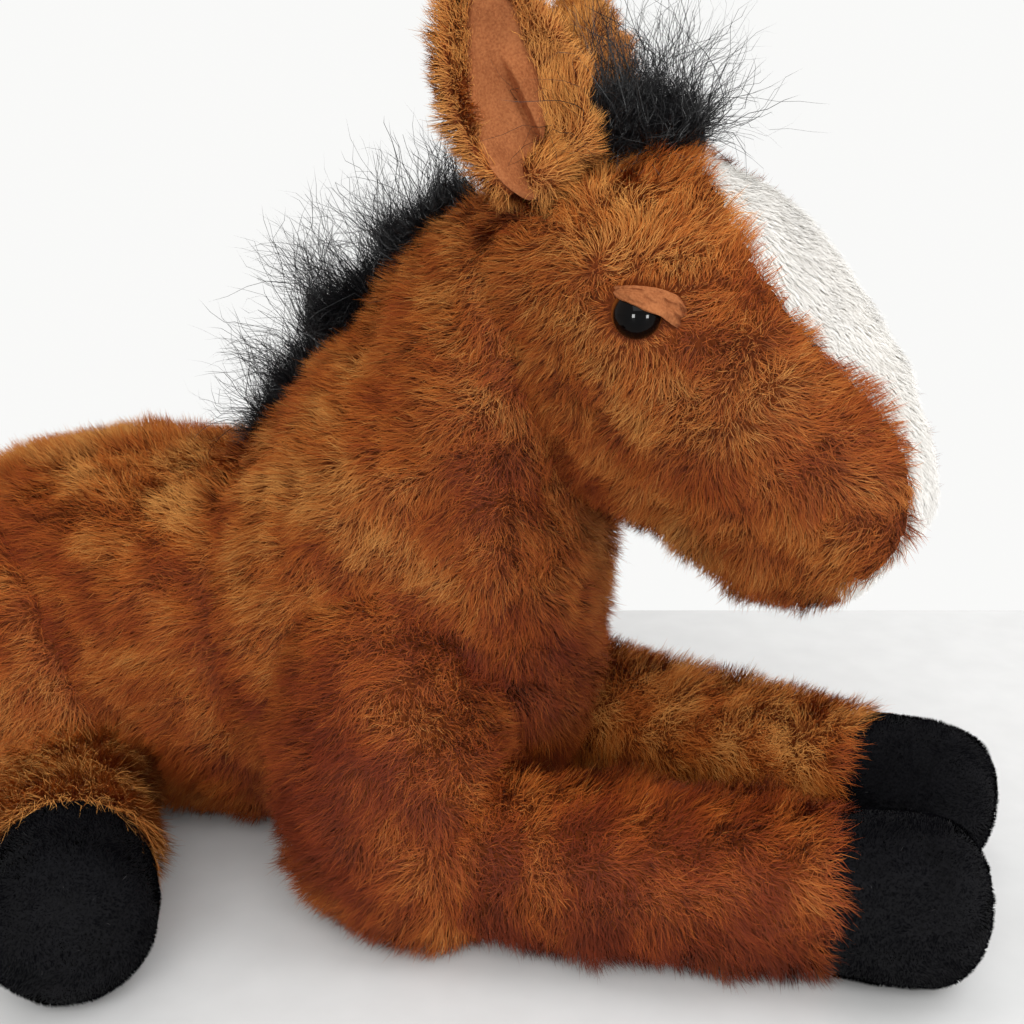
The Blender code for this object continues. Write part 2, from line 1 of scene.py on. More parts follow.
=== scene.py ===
"""A plush foal lying down: pile fabric, velour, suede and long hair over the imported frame.

Metres, +Z up, the foal looks along +X and lies on the plane Z = 0.
"""

import math

import bmesh
import bpy
import numpy as np
from mathutils import Matrix, Vector
from mathutils.bvhtree import BVHTree
from mathutils.kdtree import KDTree


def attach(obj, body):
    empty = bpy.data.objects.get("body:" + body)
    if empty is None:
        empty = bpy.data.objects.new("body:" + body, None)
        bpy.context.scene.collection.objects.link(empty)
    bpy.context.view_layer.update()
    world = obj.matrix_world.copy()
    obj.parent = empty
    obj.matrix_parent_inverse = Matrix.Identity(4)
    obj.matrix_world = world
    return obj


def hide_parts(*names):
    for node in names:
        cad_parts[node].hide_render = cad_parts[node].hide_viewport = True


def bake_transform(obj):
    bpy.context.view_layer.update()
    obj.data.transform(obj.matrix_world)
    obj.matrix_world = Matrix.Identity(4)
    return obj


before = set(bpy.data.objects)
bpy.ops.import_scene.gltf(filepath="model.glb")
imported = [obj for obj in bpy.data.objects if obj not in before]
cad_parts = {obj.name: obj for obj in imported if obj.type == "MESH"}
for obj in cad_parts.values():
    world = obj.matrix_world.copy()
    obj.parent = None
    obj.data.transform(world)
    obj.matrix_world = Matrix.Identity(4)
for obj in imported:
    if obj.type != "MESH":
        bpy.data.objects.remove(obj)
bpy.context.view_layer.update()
scene = bpy.context.scene

share_grown = 1.0

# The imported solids' own sizes
SEAM = -0.0233
BARREL_LENGTH, BARREL_HEIGHT, BARREL_HALF = 0.147, 0.132, 0.061
CHEST_LENGTH, CREST_HEIGHT, CHEST_HALF = 0.108, 0.216, 0.059
HEAD_LENGTH, HEAD_DEPTH, HEAD_HALF = 0.127, 0.084, 0.0455
HEAD_DROOP = math.radians(39)
BLAZE_HALF, BLAZE_TILT = 0.028, math.radians(25)
BLAZE_END = 0.060
EYE_RADIUS, LID_MIDDLE, LID_HALF = 0.0068, 0.0012, 0.0095
REST_CUT = 0.0005

# Pile: how far the cloth lies inside the solids, and how long the fibres are
CLOTH_DEPTH = 0.0038
PILE = 0.0080
PILE_DENSITY = 2.7

DOME_SHIFT = (0.0005, 0.0020)
UP = Vector((0, 0, 1))
ALONG_Y = Vector((0, 1, 0))
SIDES = {"left": 1, "right": -1}


# Forms
def upright_ring(top, bottom, half_width):
    return ((top + bottom) * 0.5, ALONG_Y * half_width, (top - bottom) * 0.5)


def path_ring(centre, heading, half_width, half_height):
    across = UP.cross(heading).normalized()
    return (centre, across * half_width, heading.cross(across).normalized() * half_height)


def grown(rings, margin):
    wider = []
    for centre, across, rise in rings:
        wider.append((centre, across + across.normalized() * margin, rise + rise.normalized() * margin))
    first = (wider[0][0] - wider[1][0]).normalized() * margin
    last = (wider[-1][0] - wider[-2][0]).normalized() * margin
    wider[0] = (wider[0][0] + first, wider[0][1], wider[0][2])
    wider[-1] = (wider[-1][0] + last, wider[-1][1], wider[-1][2])
    return wider


def loft(rings, count=8, levels=3):
    """The points and faces of a ring cage, rounded by subdivision."""
    cage = 3 / (2 + math.cos(2 * math.pi / count))
    bm = bmesh.new()
    loops = []
    for centre, across, rise in rings:
        loop = []
        for step in range(count):
            turn = 2 * math.pi * (step + 0.5) / count
            offset = across * math.cos(turn) + rise * math.sin(turn)
            loop.append(bm.verts.new(centre + offset * cage))
        loops.append(loop)
    for lower, upper in zip(loops, loops[1:]):
        for step in range(count):
            after = (step + 1) % count
            bm.faces.new((lower[step], lower[after], upper[after], upper[step]))
    bm.faces.new(loops[0])
    bm.faces.new(loops[-1])
    bmesh.ops.recalc_face_normals(bm, faces=bm.faces)
    mesh = bpy.data.meshes.new("cage")
    bm.to_mesh(mesh)
    bm.free()
    return shaped(mesh, [("SUBSURF", {"levels": levels})])


def shaped(mesh, steps):
    """The mesh with modifiers run on it, as points and polygons."""
    thing = bpy.data.objects.new("shape", mesh)
    scene.collection.objects.link(thing)
    for kind, settings in steps:
        added = thing.modifiers.new(kind, kind)
        for key, value in settings.items():
            setattr(added, key, value)
    view = bpy.context.evaluated_depsgraph_get()
    done = bpy.data.meshes.new_from_object(thing.evaluated_get(view))
    bpy.data.objects.remove(thing, do_unlink=True)
    bpy.data.meshes.remove(mesh)
    points = points_of(done)
    faces = [tuple(p.vertices) for p in done.polygons]
    bpy.data.meshes.remove(done)
    return points, faces


def points_of(mesh):
    flat = np.zeros(len(mesh.vertices) * 3, np.float32)
    mesh.vertices.foreach_get("co", flat)
    return flat.reshape(-1, 3).astype(float)


def fused(shapes, voxel, smoothing=6):
    """One skin round several closed forms."""
    points, faces = [], []
    for some_points, some_faces in shapes:
        base = len(points)
        points.extend(some_points.tolist())
        faces.extend([tuple(i + base for i in f) for f in some_faces])
    mesh = bpy.data.meshes.new("fused")
    mesh.from_pydata(points, [], faces)
    remesh = ("REMESH", {"mode": "VOXEL", "voxel_size": voxel})
    return shaped(mesh, [remesh, ("SMOOTH", {"factor": 0.5, "iterations": smoothing})])


# The trunk, the head and the limbs, as the solids have them
def barrel_rings(margin=0.0):
    table = [
        (-0.16, 0.99, 0.00, 0.95), (0.10, 1.005, 0.00, 0.98), (0.34, 0.995, 0.00, 1.00),
        (0.58, 0.975, 0.00, 1.00), (0.78, 0.900, 0.03, 0.92), (0.93, 0.775, 0.11, 0.72),
        (1.00, 0.640, 0.26, 0.42),
    ]
    rings = []
    for back, top, bottom, width in table:
        x = SEAM - back * BARREL_LENGTH
        high = Vector((x, 0, top * BARREL_HEIGHT))
        low = Vector((x, 0, bottom * BARREL_HEIGHT - REST_CUT))
        rings.append(upright_ring(high, low, width * BARREL_HALF))
    return grown(rings, margin)


def chest_rings(margin=0.0):
    table = [
        (-0.24, 0.605, -0.24, 0.000, 0.96), (-0.07, 0.622, -0.04, 0.000, 0.98),
        (0.10, 0.725, 0.28, 0.000, 1.00), (0.27, 0.818, 0.68, 0.020, 0.95),
        (0.41, 0.895, 0.93, 0.200, 0.84), (0.52, 0.950, 0.95, 0.400, 0.745),
        (0.60, 0.990, 0.92, 0.570, 0.69), (0.67, 1.030, 0.94, 0.670, 0.66),
    ]
    rings = []
    for top_x, top_z, bottom_x, bottom_z, width in table:
        high = Vector((SEAM + top_x * CHEST_LENGTH, 0, top_z * CREST_HEIGHT))
        low = Vector((SEAM + bottom_x * CHEST_LENGTH, 0, bottom_z * CREST_HEIGHT - REST_CUT))
        rings.append(upright_ring(high, low, width * CHEST_HALF))
    return grown(rings, margin)


NECK = chest_rings()[-2][0]
NOSE_WARD = Vector((math.cos(HEAD_DROOP), 0, -math.sin(HEAD_DROOP)))
BROW_WARD = Vector((math.sin(HEAD_DROOP), 0, math.cos(HEAD_DROOP)))
BLAZE_OUT = (BROW_WARD * math.cos(BLAZE_TILT) + NOSE_WARD * math.sin(BLAZE_TILT)).normalized()
BLAZE_DOWN = (NOSE_WARD * math.cos(BLAZE_TILT) - BROW_WARD * math.sin(BLAZE_TILT)).normalized()


def head_point(along, brow, across=0.0):
    return NECK + NOSE_WARD * along * HEAD_LENGTH + BROW_WARD * brow * HEAD_DEPTH + ALONG_Y * across


def head_rings(margin=0.0):
    table = [
        (-0.30, 0.56, 0.18, 0.52), (-0.12, 0.82, -0.05, 0.86), (0.09, 0.985, -0.21, 1.00),
        (0.31, 1.00, -0.27, 0.99), (0.52, 0.885, -0.20, 0.84), (0.72, 0.795, -0.14, 0.74),
        (0.87, 0.700, -0.04, 0.67), (0.97, 0.530, 0.12, 0.50),
    ]
    rings = []
    for along, brow, jaw, width in table:
        rings.append(upright_ring(head_point(along, brow), head_point(along, jaw), width * HEAD_HALF))
    return grown(rings, margin)


def stacked_rings(table, foot, half_length, half_width, height, side, margin):
    rings = []
    for level, forward, inward, length, width in table:
        rise = level * height - REST_CUT
        centre = foot + Vector((forward * half_length, -side * inward * half_width, rise))
        rings.append((centre, ALONG_Y * width * half_width, Vector((1, 0, 0)) * length * half_length))
    return grown(rings, margin)


def shoulder_rings(side, margin=0.0):
    table = [
        (-0.015, 0.20, 0.06, 0.72, 0.72), (0.14, 0.12, 0.03, 0.94, 0.96), (0.40, -0.05, 0.08, 1.0, 1.0),
        (0.64, -0.16, 0.22, 0.92, 0.92), (0.86, -0.28, 0.42, 0.72, 0.72), (1.0, -0.34, 0.56, 0.44, 0.46),
    ]
    foot = Vector((SEAM + 0.53 * CHEST_LENGTH, side * 0.052, 0))
    return stacked_rings(table, foot, 0.038, 0.035, 0.112, side, margin)


def haunch_rings(side, margin=0.0):
    table = [
        (-0.015, 0.0, 0.0, 0.78, 0.68), (0.16, 0.0, 0.0, 0.97, 0.96), (0.42, 0.0, 0.0, 1.0, 1.0),
        (0.68, -0.02, 0.08, 0.92, 0.90), (0.88, -0.04, 0.28, 0.68, 0.64), (1.0, -0.06, 0.44, 0.42, 0.36),
    ]
    foot = Vector((SEAM - 0.58 * BARREL_LENGTH, side * 0.047, 0))
    return stacked_rings(table, foot, 0.048, 0.030, 0.108, side, margin)


class Limb:
    """A leg's root, heading and radii."""

    def __init__(self, kind, name):
        side = SIDES[name]
        self.kind, self.name = kind, name
        self.body = name + "_" + kind + "_leg"
        if kind == "fore":
            self.length, self.root_radius, self.cuff_radius = 0.108, 0.026, 0.0245
            self.root = Vector((SEAM + 0.74 * CHEST_LENGTH, side * 0.052, self.root_radius - REST_CUT))
            self.heading = Vector((self.length, side * (0.034 - 0.052), 0)).normalized()
        else:
            self.length, self.root_radius, self.cuff_radius = 0.064, 0.0245, 0.024
            self.root = Vector((SEAM - 0.42 * BARREL_LENGTH, side * 0.050, self.root_radius - REST_CUT))
            splay = math.radians(54)
            self.heading = Vector((math.cos(splay), side * math.sin(splay), 0))
        self.hoof_radius, self.band, self.bulge = 0.0248, 0.0225, 0.019
        self.cuff = self.root + self.heading * self.length - UP * (self.root_radius - self.hoof_radius)

    def sleeve_rings(self, margin=0.0):
        rings = []
        for back, width in [(-0.84, 0.46), (-0.50, 0.84)]:
            reach = self.root_radius * width
            centre = self.root + self.heading * self.root_radius * back
            rings.append(path_ring(centre, self.heading, reach, reach))
        for ahead, taper in [(0.0, 0.0), (0.28, 0.2), (0.62, 0.7), (0.9, 1.0), (0.97, 1.0), (1.0, 0.9)]:
            reach = self.root_radius + (self.cuff_radius - self.root_radius) * taper
            centre = self.root + self.heading * self.length * ahead - UP * (self.root_radius - reach)
            rings.append(path_ring(centre, self.heading, reach, reach))
        return grown(rings, margin)

    def hoof_rings(self, margin=0.0):
        band = [(-0.4, 0.90), (0.0, 0.955), (0.5, 0.99), (0.92, 0.995), (1.0, 0.965), (1.08, 0.985)]
        sole = [(0.40, 0.93), (0.74, 0.72), (1.0, 0.36)]
        table = [(self.band * along, width) for along, width in band]
        table += [(self.band + self.bulge * bulge, width) for bulge, width in sole]
        rings = []
        for ahead, width in table:
            reach = self.hoof_radius * width
            rings.append(path_ring(self.cuff + self.heading * ahead, self.heading, reach, reach))
        return grown(rings, margin)


# Number tools
def unit(vectors):
    return vectors / np.maximum(np.linalg.norm(vectors, axis=1), 1e-9)[:, None]


def row(vector):
    return np.array(vector, float)[None, :]


def waves(points, wavelength, seed, count=9):
    """Smooth noise about zero, from sines that run in random directions."""
    rng = np.random.default_rng(seed)
    aim = unit(rng.normal(size=(count, 3)))
    pitch = 2 * math.pi / (wavelength * rng.uniform(0.6, 1.7, count))
    phase = rng.uniform(0, 2 * math.pi, count)
    total = np.sin(points @ (aim * pitch[:, None]).T + phase).sum(1)
    return total / math.sqrt(count)


def swirl(points, wavelength, seed):
    return np.stack([waves(points, wavelength, seed + k) for k in range(3)], 1)


def step_up(values, low, high):
    share = np.clip((values - low) / (high - low), 0, 1)
    return share * share * (3 - 2 * share)


def bump(distance, width):
    return np.exp(-((distance / width) ** 2))


class Skin:
    """A closed cloth surface that pile grows on."""

    def __init__(self, points, faces):
        self.points, self.faces = points, faces
        self.refresh()

    def refresh(self):
        tris = []
        for f in self.faces:
            for k in range(1, len(f) - 1):
                tris.append((f[0], f[k], f[k + 1]))
        self.tris = np.array(tris)
        a, b, c = (self.points[self.tris[:, k]] for k in range(3))
        facing = np.cross(b - a, c - a)
        self.areas = np.linalg.norm(facing, axis=1) * 0.5
        normals = np.zeros_like(self.points)
        for k in range(3):
            np.add.at(normals, self.tris[:, k], facing)
        self.normals = unit(normals)

    def swell(self, move, floor):
        """Moves the points along their normals and keeps them above a height."""
        self.points = self.points + self.normals * move[:, None]
        self.points[:, 2] = np.maximum(self.points[:, 2], floor)
        self.refresh()

    def tree(self):
        return BVHTree.FromPolygons(self.points.tolist(), self.tris.tolist())

    def scatter(self, count, rng):
        """Evenly spread points with their normals."""
        edges = np.cumsum(self.areas)
        picks = (np.arange(count) + rng.random(count)) / count * edges[-1]
        at = np.minimum(np.searchsorted(edges, picks), len(self.tris) - 1)
        u, v = rng.random(count), rng.random(count)
        over = u + v > 1
        u[over], v[over] = 1 - u[over], 1 - v[over]
        weights = np.stack([1 - u - v, u, v], 1)[:, :, None]
        corners = self.tris[at]
        return (self.points[corners] * weights).sum(1), unit((self.normals[corners] * weights).sum(1))

    def area(self):
        return float(self.areas.sum())


def inside(points, trees, depth=0.0012):
    """Which points lie deeper than a depth inside any of the surfaces."""
    hidden = np.zeros(len(points), bool)
    for tree, low, high in trees:
        near = np.all((points > low) & (points < high), axis=1)
        for index in np.nonzero(near & ~hidden)[0]:
            place = Vector(points[index])
            spot, normal, _, _ = tree.find_nearest(place)
            if (place - spot).dot(normal) < -depth:
                hidden[index] = True
    return hidden


def tree_of(skin):
    return skin.tree(), skin.points.min(0), skin.points.max(0)


# Meshes
def placed(name, mesh, material):
    mesh.materials.append(material)
    made = bpy.data.objects.new(name, mesh)
    scene.collection.objects.link(made)
    return made


def mesh_object(name, points, faces, material, smooth=True):
    mesh = bpy.data.meshes.new(name)
    mesh.from_pydata(np.asarray(points).tolist(), [], [tuple(int(i) for i in f) for f in faces])
    mesh.validate()
    if smooth:
        mesh.shade_smooth()
    return placed(name, mesh, material)


def reface(mesh, toward=None):
    """Turns every face outward, or an open sheet's faces to look one way."""
    bm = bmesh.new()
    bm.from_mesh(mesh)
    bmesh.ops.recalc_face_normals(bm, faces=bm.faces)
    if toward is not None and sum(f.normal.dot(toward) for f in bm.faces) < 0:
        bmesh.ops.reverse_faces(bm, faces=bm.faces)
    bm.to_mesh(mesh)
    bm.free()


def grid_faces(rows, columns):
    starts = [k * columns + j for k in range(rows - 1) for j in range(columns - 1)]
    return [(start, start + 1, start + columns + 1, start + columns) for start in starts]


def dress(made, body, slot, *replaced):
    """The piece moves with its body, or on the neck keeps its place with its transform baked in; the parts it
    replaces are hidden.
    """
    if body == "neck":
        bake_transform(made)
    else:
        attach(made, body)
    if replaced:
        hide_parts(*replaced)


def strand_mesh(name, curves, widths, sideways, shades, material, facing=None):
    """Tapering ribbons. curves: strands x points x 3; widths: strands x (points - 1)."""
    count, steps = curves.shape[0], curves.shape[1]
    per = (steps - 1) * 2 + 1
    half = sideways[:, None, :] * widths[:, :, None] * 0.5
    points = np.empty((count, per, 3), np.float32)
    points[:, 0:-1:2] = curves[:, :-1] - half
    points[:, 1:-1:2] = curves[:, :-1] + half
    points[:, -1] = curves[:, -1]
    quads = [(2 * k, 2 * k + 1, 2 * k + 3, 2 * k + 2) for k in range(steps - 2)]
    pattern = np.array([i for q in quads for i in q] + [per - 3, per - 2, per - 1])
    starts = np.array([4 * k for k in range(steps - 1)])
    loops = (np.arange(count)[:, None] * per + pattern[None, :]).ravel().astype(np.int32)
    firsts = (np.arange(count)[:, None] * len(pattern) + starts[None, :]).ravel().astype(np.int32)
    mesh = bpy.data.meshes.new(name)
    mesh.vertices.add(count * per)
    mesh.vertices.foreach_set("co", points.ravel())
    mesh.loops.add(len(loops))
    mesh.loops.foreach_set("vertex_index", loops)
    mesh.polygons.add(len(firsts))
    mesh.polygons.foreach_set("loop_start", firsts)
    mesh.update(calc_edges=True)
    along = np.empty(per)
    along[0:-1:2] = along[1:-1:2] = np.arange(steps - 1) / (steps - 1)
    along[-1] = 1.0
    sway = np.tile([-0.002, 0.002], steps)[:per]
    sway[-1] = 0
    u = np.clip(shades[:, None] * 0.98 + 0.01 + sway[None, :], 0.001, 0.999)
    v = np.broadcast_to(along * 0.96 + 0.02, u.shape)
    uv = np.stack([u, v], 2)[:, pattern].reshape(-1, 2).astype(np.float32)
    layer = mesh.uv_layers.new(name="OFBake")
    layer.uv.foreach_set("vector", uv.ravel())
    mesh.shade_smooth()
    if facing is not None:
        normals = np.repeat(facing[:, None, :], per, 1).reshape(-1, 3)
        mesh.normals_split_custom_set_from_vertices(normals.tolist())
    return placed(name, mesh, material)


MOST_STRANDS, MOST_HAIRS = 38000, 12500


def lay(label, body, slot, material, order, strands, most=MOST_STRANDS):
    """Makes the strands, in order, as near equal pieces that are numbered from 1."""
    for part, some in enumerate(np.array_split(order, max(1, math.ceil(len(order) / most))), 1):
        curves, widths, sideways, tone, *facing = (values[some] for values in strands)
        made = strand_mesh(label.format(part), curves, widths, sideways, tone, material, *facing)
        dress(made, body, slot)


def clumped(curves, roots, spacing, pull, rng):
    """Draws each strand's outer part towards its clump's leading strand."""
    count = len(roots)
    leaders = max(int(count / max(spacing, 1)), 1)
    picks = rng.choice(count, leaders, replace=False)
    tree = KDTree(leaders)
    for at, index in enumerate(picks):
        tree.insert(roots[index], at)
    tree.balance()
    find = tree.find
    nearest = np.fromiter((find(p)[1] for p in roots.tolist()), int, count)
    lead = picks[nearest]
    steps = curves.shape[1]
    share = (np.linspace(0, 1, steps) ** 1.3)[None, :, None] * pull[:, None, None]
    return curves + (curves[lead] - curves) * share


def sideways_of(curves, normals, rng, stray=0.9):
    """Each ribbon's width direction. The ribbon's front looks away from the cloth."""
    along = unit(curves[:, -1] - curves[:, 0])
    across = unit(np.cross(along, normals) + 1e-6)
    turn = rng.uniform(-stray, stray, len(curves))
    sideways = across * np.cos(turn)[:, None] + np.cross(along, across) * np.sin(turn)[:, None]
    front = (np.cross(sideways, along) * normals).sum(1)
    return sideways * np.where(front < 0, -1.0, 1.0)[:, None]


def pile(points, normals, comb, rng, length, lean=0.6, segments=3, clump=18, pull=0.20, wave=0.0014,
         width=0.00022, stray=0.12, crimp=0.045, mess=0.36, turn=0.9):
    """Crimped strands that stand up from the cloth and lean along the comb, each way where it is weak."""
    count = len(points)
    comb = comb + rng.normal(size=(count, 3)) * mess
    comb = unit(comb - normals * (comb * normals).sum(1)[:, None])
    length = length * rng.uniform(0.84, 1.04, count)
    lean = lean * (1 + 0.2 * waves(points, 0.022, 70)) * rng.uniform(0.7, 1.3, count)
    t = np.linspace(0, 1, segments + 1)
    rise = np.cos(lean)[:, None] * t[None, :]
    run = np.sin(lean)[:, None] * (t[None, :] ** 1.5)
    bend = swirl(points, 0.011, 71) * wave + swirl(points, 0.005, 75) * wave * 0.4
    bend = bend + rng.normal(size=(count, 3)) * (length * stray)[:, None]
    curves = points[:, None, :] + length[:, None, None] * (
        rise[:, :, None] * normals[:, None, :] + run[:, :, None] * comb[:, None, :]
    )
    curves = curves + (t[None, :, None] ** 1.5) * bend[:, None, :]
    curves = clumped(curves, points, clump, pull * rng.uniform(0.2, 1.6, count), rng)
    curves[:, 1:] += rng.normal(size=(count, segments, 3)) * (length * crimp)[:, None, None]
    curves[:, :, 2] = np.maximum(curves[:, :, 2], 0.0004)
    taper = np.array([1.0, 0.85, 0.6, 0.4])[:segments]
    widths = width * rng.uniform(0.75, 1.25, count)[:, None] * taper[None, :]
    return curves, widths, sideways_of(curves, normals, rng, turn)


def hair(roots, aims, rng, length, frizz, width, pull, segments=8, wisp=1.3, clump=14):
    """Long strands that wander from their aim, a little together and a little each on its own."""
    count = len(roots)
    step = (length / segments)[:, None]
    heading = unit(aims)
    points = [roots]
    for k in range(segments):
        drift = swirl(points[-1], 0.016, 90 + 3 * k % 7) * wisp * 0.2
        drift = drift + rng.normal(size=(count, 3)) * frizz * (0.5 + k / segments)
        heading = unit(heading + drift)
        points.append(points[-1] + heading * step)
    curves = np.stack(points, 1)
    curves = clumped(curves, roots, clump, pull * rng.uniform(0.0, 1.6, count), rng)
    curves[:, :, 2] = np.maximum(curves[:, :, 2], 0.0005)
    taper = np.linspace(1, 0.45, segments)
    widths = width * rng.uniform(0.8, 1.2, count)[:, None] * taper[None, :]
    facing = np.broadcast_to(np.array((-0.2, 0, 1.0)), roots.shape)
    return curves, widths, sideways_of(curves, unit(facing + rng.normal(size=roots.shape)), rng, 1.5)


# Materials
def node_of(tree, kind, **values):
    """A new node, with values for its inputs. An input that has no name is given as input_N."""
    made = tree.nodes.new("ShaderNode" + kind)
    for key, value in values.items():
        at = int(key[6:]) if key.startswith("input_") else key
        made.inputs[at].default_value = value
    return made


def math_node(tree, operation, **values):
    made = node_of(tree, "Math", **values)
    made.operation = operation
    return made


def shader_of(name, roughness, specular):
    made = bpy.data.materials.new(name)
    made.use_nodes = True
    shader = made.node_tree.nodes["Principled BSDF"]
    shader.inputs["Roughness"].default_value = roughness
    shader.inputs["Specular IOR Level"].default_value = specular
    return made, made.node_tree, made.node_tree.links.new, shader


def srgb(red, green, blue):
    def one(value):
        value = value / 255
        return value / 12.92 if value <= 0.04045 else ((value + 0.055) / 1.055) ** 2.4

    return (one(red), one(green), one(blue), 1.0)


def ramp(tree, stops):
    made = node_of(tree, "ValToRGB")
    elements = made.color_ramp.elements
    elements[0].position, elements[0].color = stops[0]
    elements[1].position, elements[1].color = stops[-1]
    for position, colour in stops[1:-1]:
        elements.new(position).color = colour
    return made


def strand_material(name, roots, tips, roughness, specular):
    """Across the UV map run the shades of the strands, and up it runs each strand from root to tip."""
    made, tree, link, shader = shader_of(name, roughness, specular)
    place = node_of(tree, "UVMap")
    place.uv_map = "OFBake"
    split = node_of(tree, "SeparateXYZ")
    mix = node_of(tree, "Mix")
    mix.data_type = "RGBA"
    link(place.outputs["UV"], split.inputs["Vector"])
    rise = [(p, (v, v, v, 1)) for p, v in ((0.0, 0.0), (0.35, 0.25), (1.0, 1.0))]
    for stops, axis, end in ((roots, "X", "A"), (tips, "X", "B"), (rise, "Y", "Factor")):
        shade = ramp(tree, stops)
        link(split.outputs[axis], shade.inputs["Fac"])
        link(shade.outputs["Color"], mix.inputs[end])
    link(mix.outputs["Result"], shader.inputs["Base Color"])
    return made


def cloth_material(name, dark, light, scale, roughness=0.9, bump_size=0.0004):
    """Matt cloth with fine grain and slow patches."""
    made, tree, link, shader = shader_of(name, roughness, 0.1)
    place = node_of(tree, "TexCoord")
    fine = node_of(tree, "TexNoise", Scale=scale, Detail=6)
    slow = node_of(tree, "TexNoise", Scale=scale / 14, Detail=3)
    slow_part = math_node(tree, "MULTIPLY", input_1=0.4)
    both = math_node(tree, "MULTIPLY_ADD", input_1=0.6)
    tone = ramp(tree, [(0.36, dark), (0.64, light)])
    relief = node_of(tree, "Bump", Strength=0.6, Distance=bump_size)
    link(place.outputs["Object"], fine.inputs["Vector"])
    link(place.outputs["Object"], slow.inputs["Vector"])
    link(slow.outputs["Fac"], slow_part.inputs[0])
    link(fine.outputs["Fac"], both.inputs[0])
    link(slow_part.outputs["Value"], both.inputs[2])
    link(both.outputs["Value"], tone.inputs["Fac"])
    link(tone.outputs["Color"], shader.inputs["Base Color"])
    link(fine.outputs["Fac"], relief.inputs["Height"])
    link(relief.outputs["Normal"], shader.inputs["Normal"])
    return made


def tones(*stops):
    """Colour stops from (place, red, green, blue) in 8-bit sRGB."""
    return [(place, srgb(*colour)) for place, *colour in stops]


# In these strand materials the roots are darker than the tips: partly the fibres' own colour and partly
# painted shade deep in the pile.
fur = strand_material(
    "fur_pile",
    tones((0.0, 96, 36, 9), (0.5, 134, 62, 18), (1.0, 164, 90, 34)),
    tones((0.0, 132, 46, 9), (0.3, 173, 78, 20), (0.6, 206, 114, 40), (1.0, 238, 172, 92)),
    roughness=0.75,
    specular=0.15,
)
white_pile = strand_material(
    "white_pile",
    tones((0.0, 236, 232, 226), (1.0, 246, 244, 240)),
    tones((0.0, 244, 242, 238), (1.0, 253, 252, 250)),
    roughness=0.9,
    specular=0.1,
)
black_hair = strand_material(
    "black_hair",
    tones((0.0, 4, 4, 6), (1.0, 9, 9, 12)),
    tones((0.0, 8, 8, 11), (0.8, 18, 18, 22), (1.0, 40, 38, 40)),
    roughness=0.42,
    specular=0.3,
)
velour_nap = strand_material(
    "velour_nap",
    tones((0.0, 3, 3, 5), (1.0, 7, 7, 10)),
    tones((0.0, 5, 5, 7), (0.9, 12, 12, 17), (1.0, 130, 126, 128)),
    roughness=0.95,
    specular=0.02,
)
fur_cloth = cloth_material("fur_cloth", srgb(84, 34, 9), srgb(122, 58, 18), 900)
white_cloth = cloth_material("white_cloth", srgb(232, 229, 223), srgb(248, 246, 242), 900)
hair_cloth = cloth_material("hair_cloth", srgb(6, 6, 8), srgb(16, 16, 19), 900)
velour_cloth = cloth_material("velour_cloth", srgb(4, 4, 6), srgb(11, 11, 15), 1400)
suede_cloth = cloth_material("suede_cloth", srgb(134, 76, 42), srgb(172, 108, 66), 1500)


# Skins
BLEND_AIM = Vector((0.90, 0, 0.436)).normalized()
BLEND_BACK, BLEND_AHEAD = 0.012, 0.022


def head_share(points):
    """1 on the head, 0 on the trunk."""
    return step_up((points - row(NECK)) @ np.array(BLEND_AIM), -BLEND_BACK, BLEND_AHEAD)


def blaze_depth(points):
    """How far inside the white panel's edge, in metres; below zero outside."""
    away = points - row(NECK)
    down = (away @ np.array(BLAZE_DOWN)) / HEAD_LENGTH
    out = away @ np.array(BLAZE_OUT)
    table = np.array([
        (-0.25, 0.16), (-0.17, 0.58), (-0.08, 0.86), (0.03, 0.97), (0.15, 0.90),
        (0.25, 0.78), (0.35, 0.66), (0.45, 0.57), (0.55, 0.57), (0.65, 0.64), (0.74, 0.72),
    ])
    side = np.interp(down, table[:, 0], table[:, 1] * BLAZE_HALF) - np.abs(points[:, 1])
    top = (down - table[0, 0]) * HEAD_LENGTH
    return np.minimum(np.minimum(side, top), out - BLAZE_END)


def form_tree(shape):
    return BVHTree.FromPolygons(shape[0].tolist(), shape[1])


barrel, chest, head = (loft(rings(-CLOTH_DEPTH), 12) for rings in (barrel_rings, chest_rings, head_rings))
shoulders = [loft(shoulder_rings(side, -CLOTH_DEPTH)) for side in SIDES.values()]
haunches = [loft(haunch_rings(side, -CLOTH_DEPTH)) for side in SIDES.values()]
CREASED = [(head, chest, 1.0)]
CREASED += [(haunch, barrel, 0.9) for haunch in haunches]
CREASED += [(shoulder, chest, 0.5) for shoulder in shoulders]
crease_trees = [(form_tree(a), form_tree(b), depth) for a, b, depth in CREASED]
CREASE_REACH = 0.006


def creases_at(points):
    """1 where two sewn sections meet, 0 away from there."""
    deepest = np.zeros(len(points))
    for first, second, depth in crease_trees:
        gaps = []
        for tree in (first, second):
            find = tree.find_nearest
            found = (find(p, CREASE_REACH)[3] for p in points.tolist())
            gaps.append(np.fromiter((CREASE_REACH if f is None else f for f in found), float, len(points)))
        deepest = np.maximum(deepest, bump(np.maximum(*gaps), 0.0022) * depth)
    return deepest


def seam_ring(points, width):
    """1 along the seam round the middle of the trunk, which wavers a little."""
    return bump(points[:, 0] - SEAM - 0.004 * np.sin(points[:, 2] * 40), width) * (1 - head_share(points))


def make_coat():
    points, faces = fused([barrel, chest, head] + shoulders + haunches, 0.0026, 7)
    coat = Skin(points, faces)
    move = waves(points, 0.05, 11) * 0.0010 + waves(points, 0.020, 12) * 0.0004
    move -= 0.0016 * seam_ring(points, 0.0030) + 0.0018 * creases_at(points)
    for side in SIDES.values():
        move -= 0.0010 * bump(np.linalg.norm(points - row(dome_middle(side)), axis=1), 0.010)
    coat.swell(move, 0.0012)
    return coat


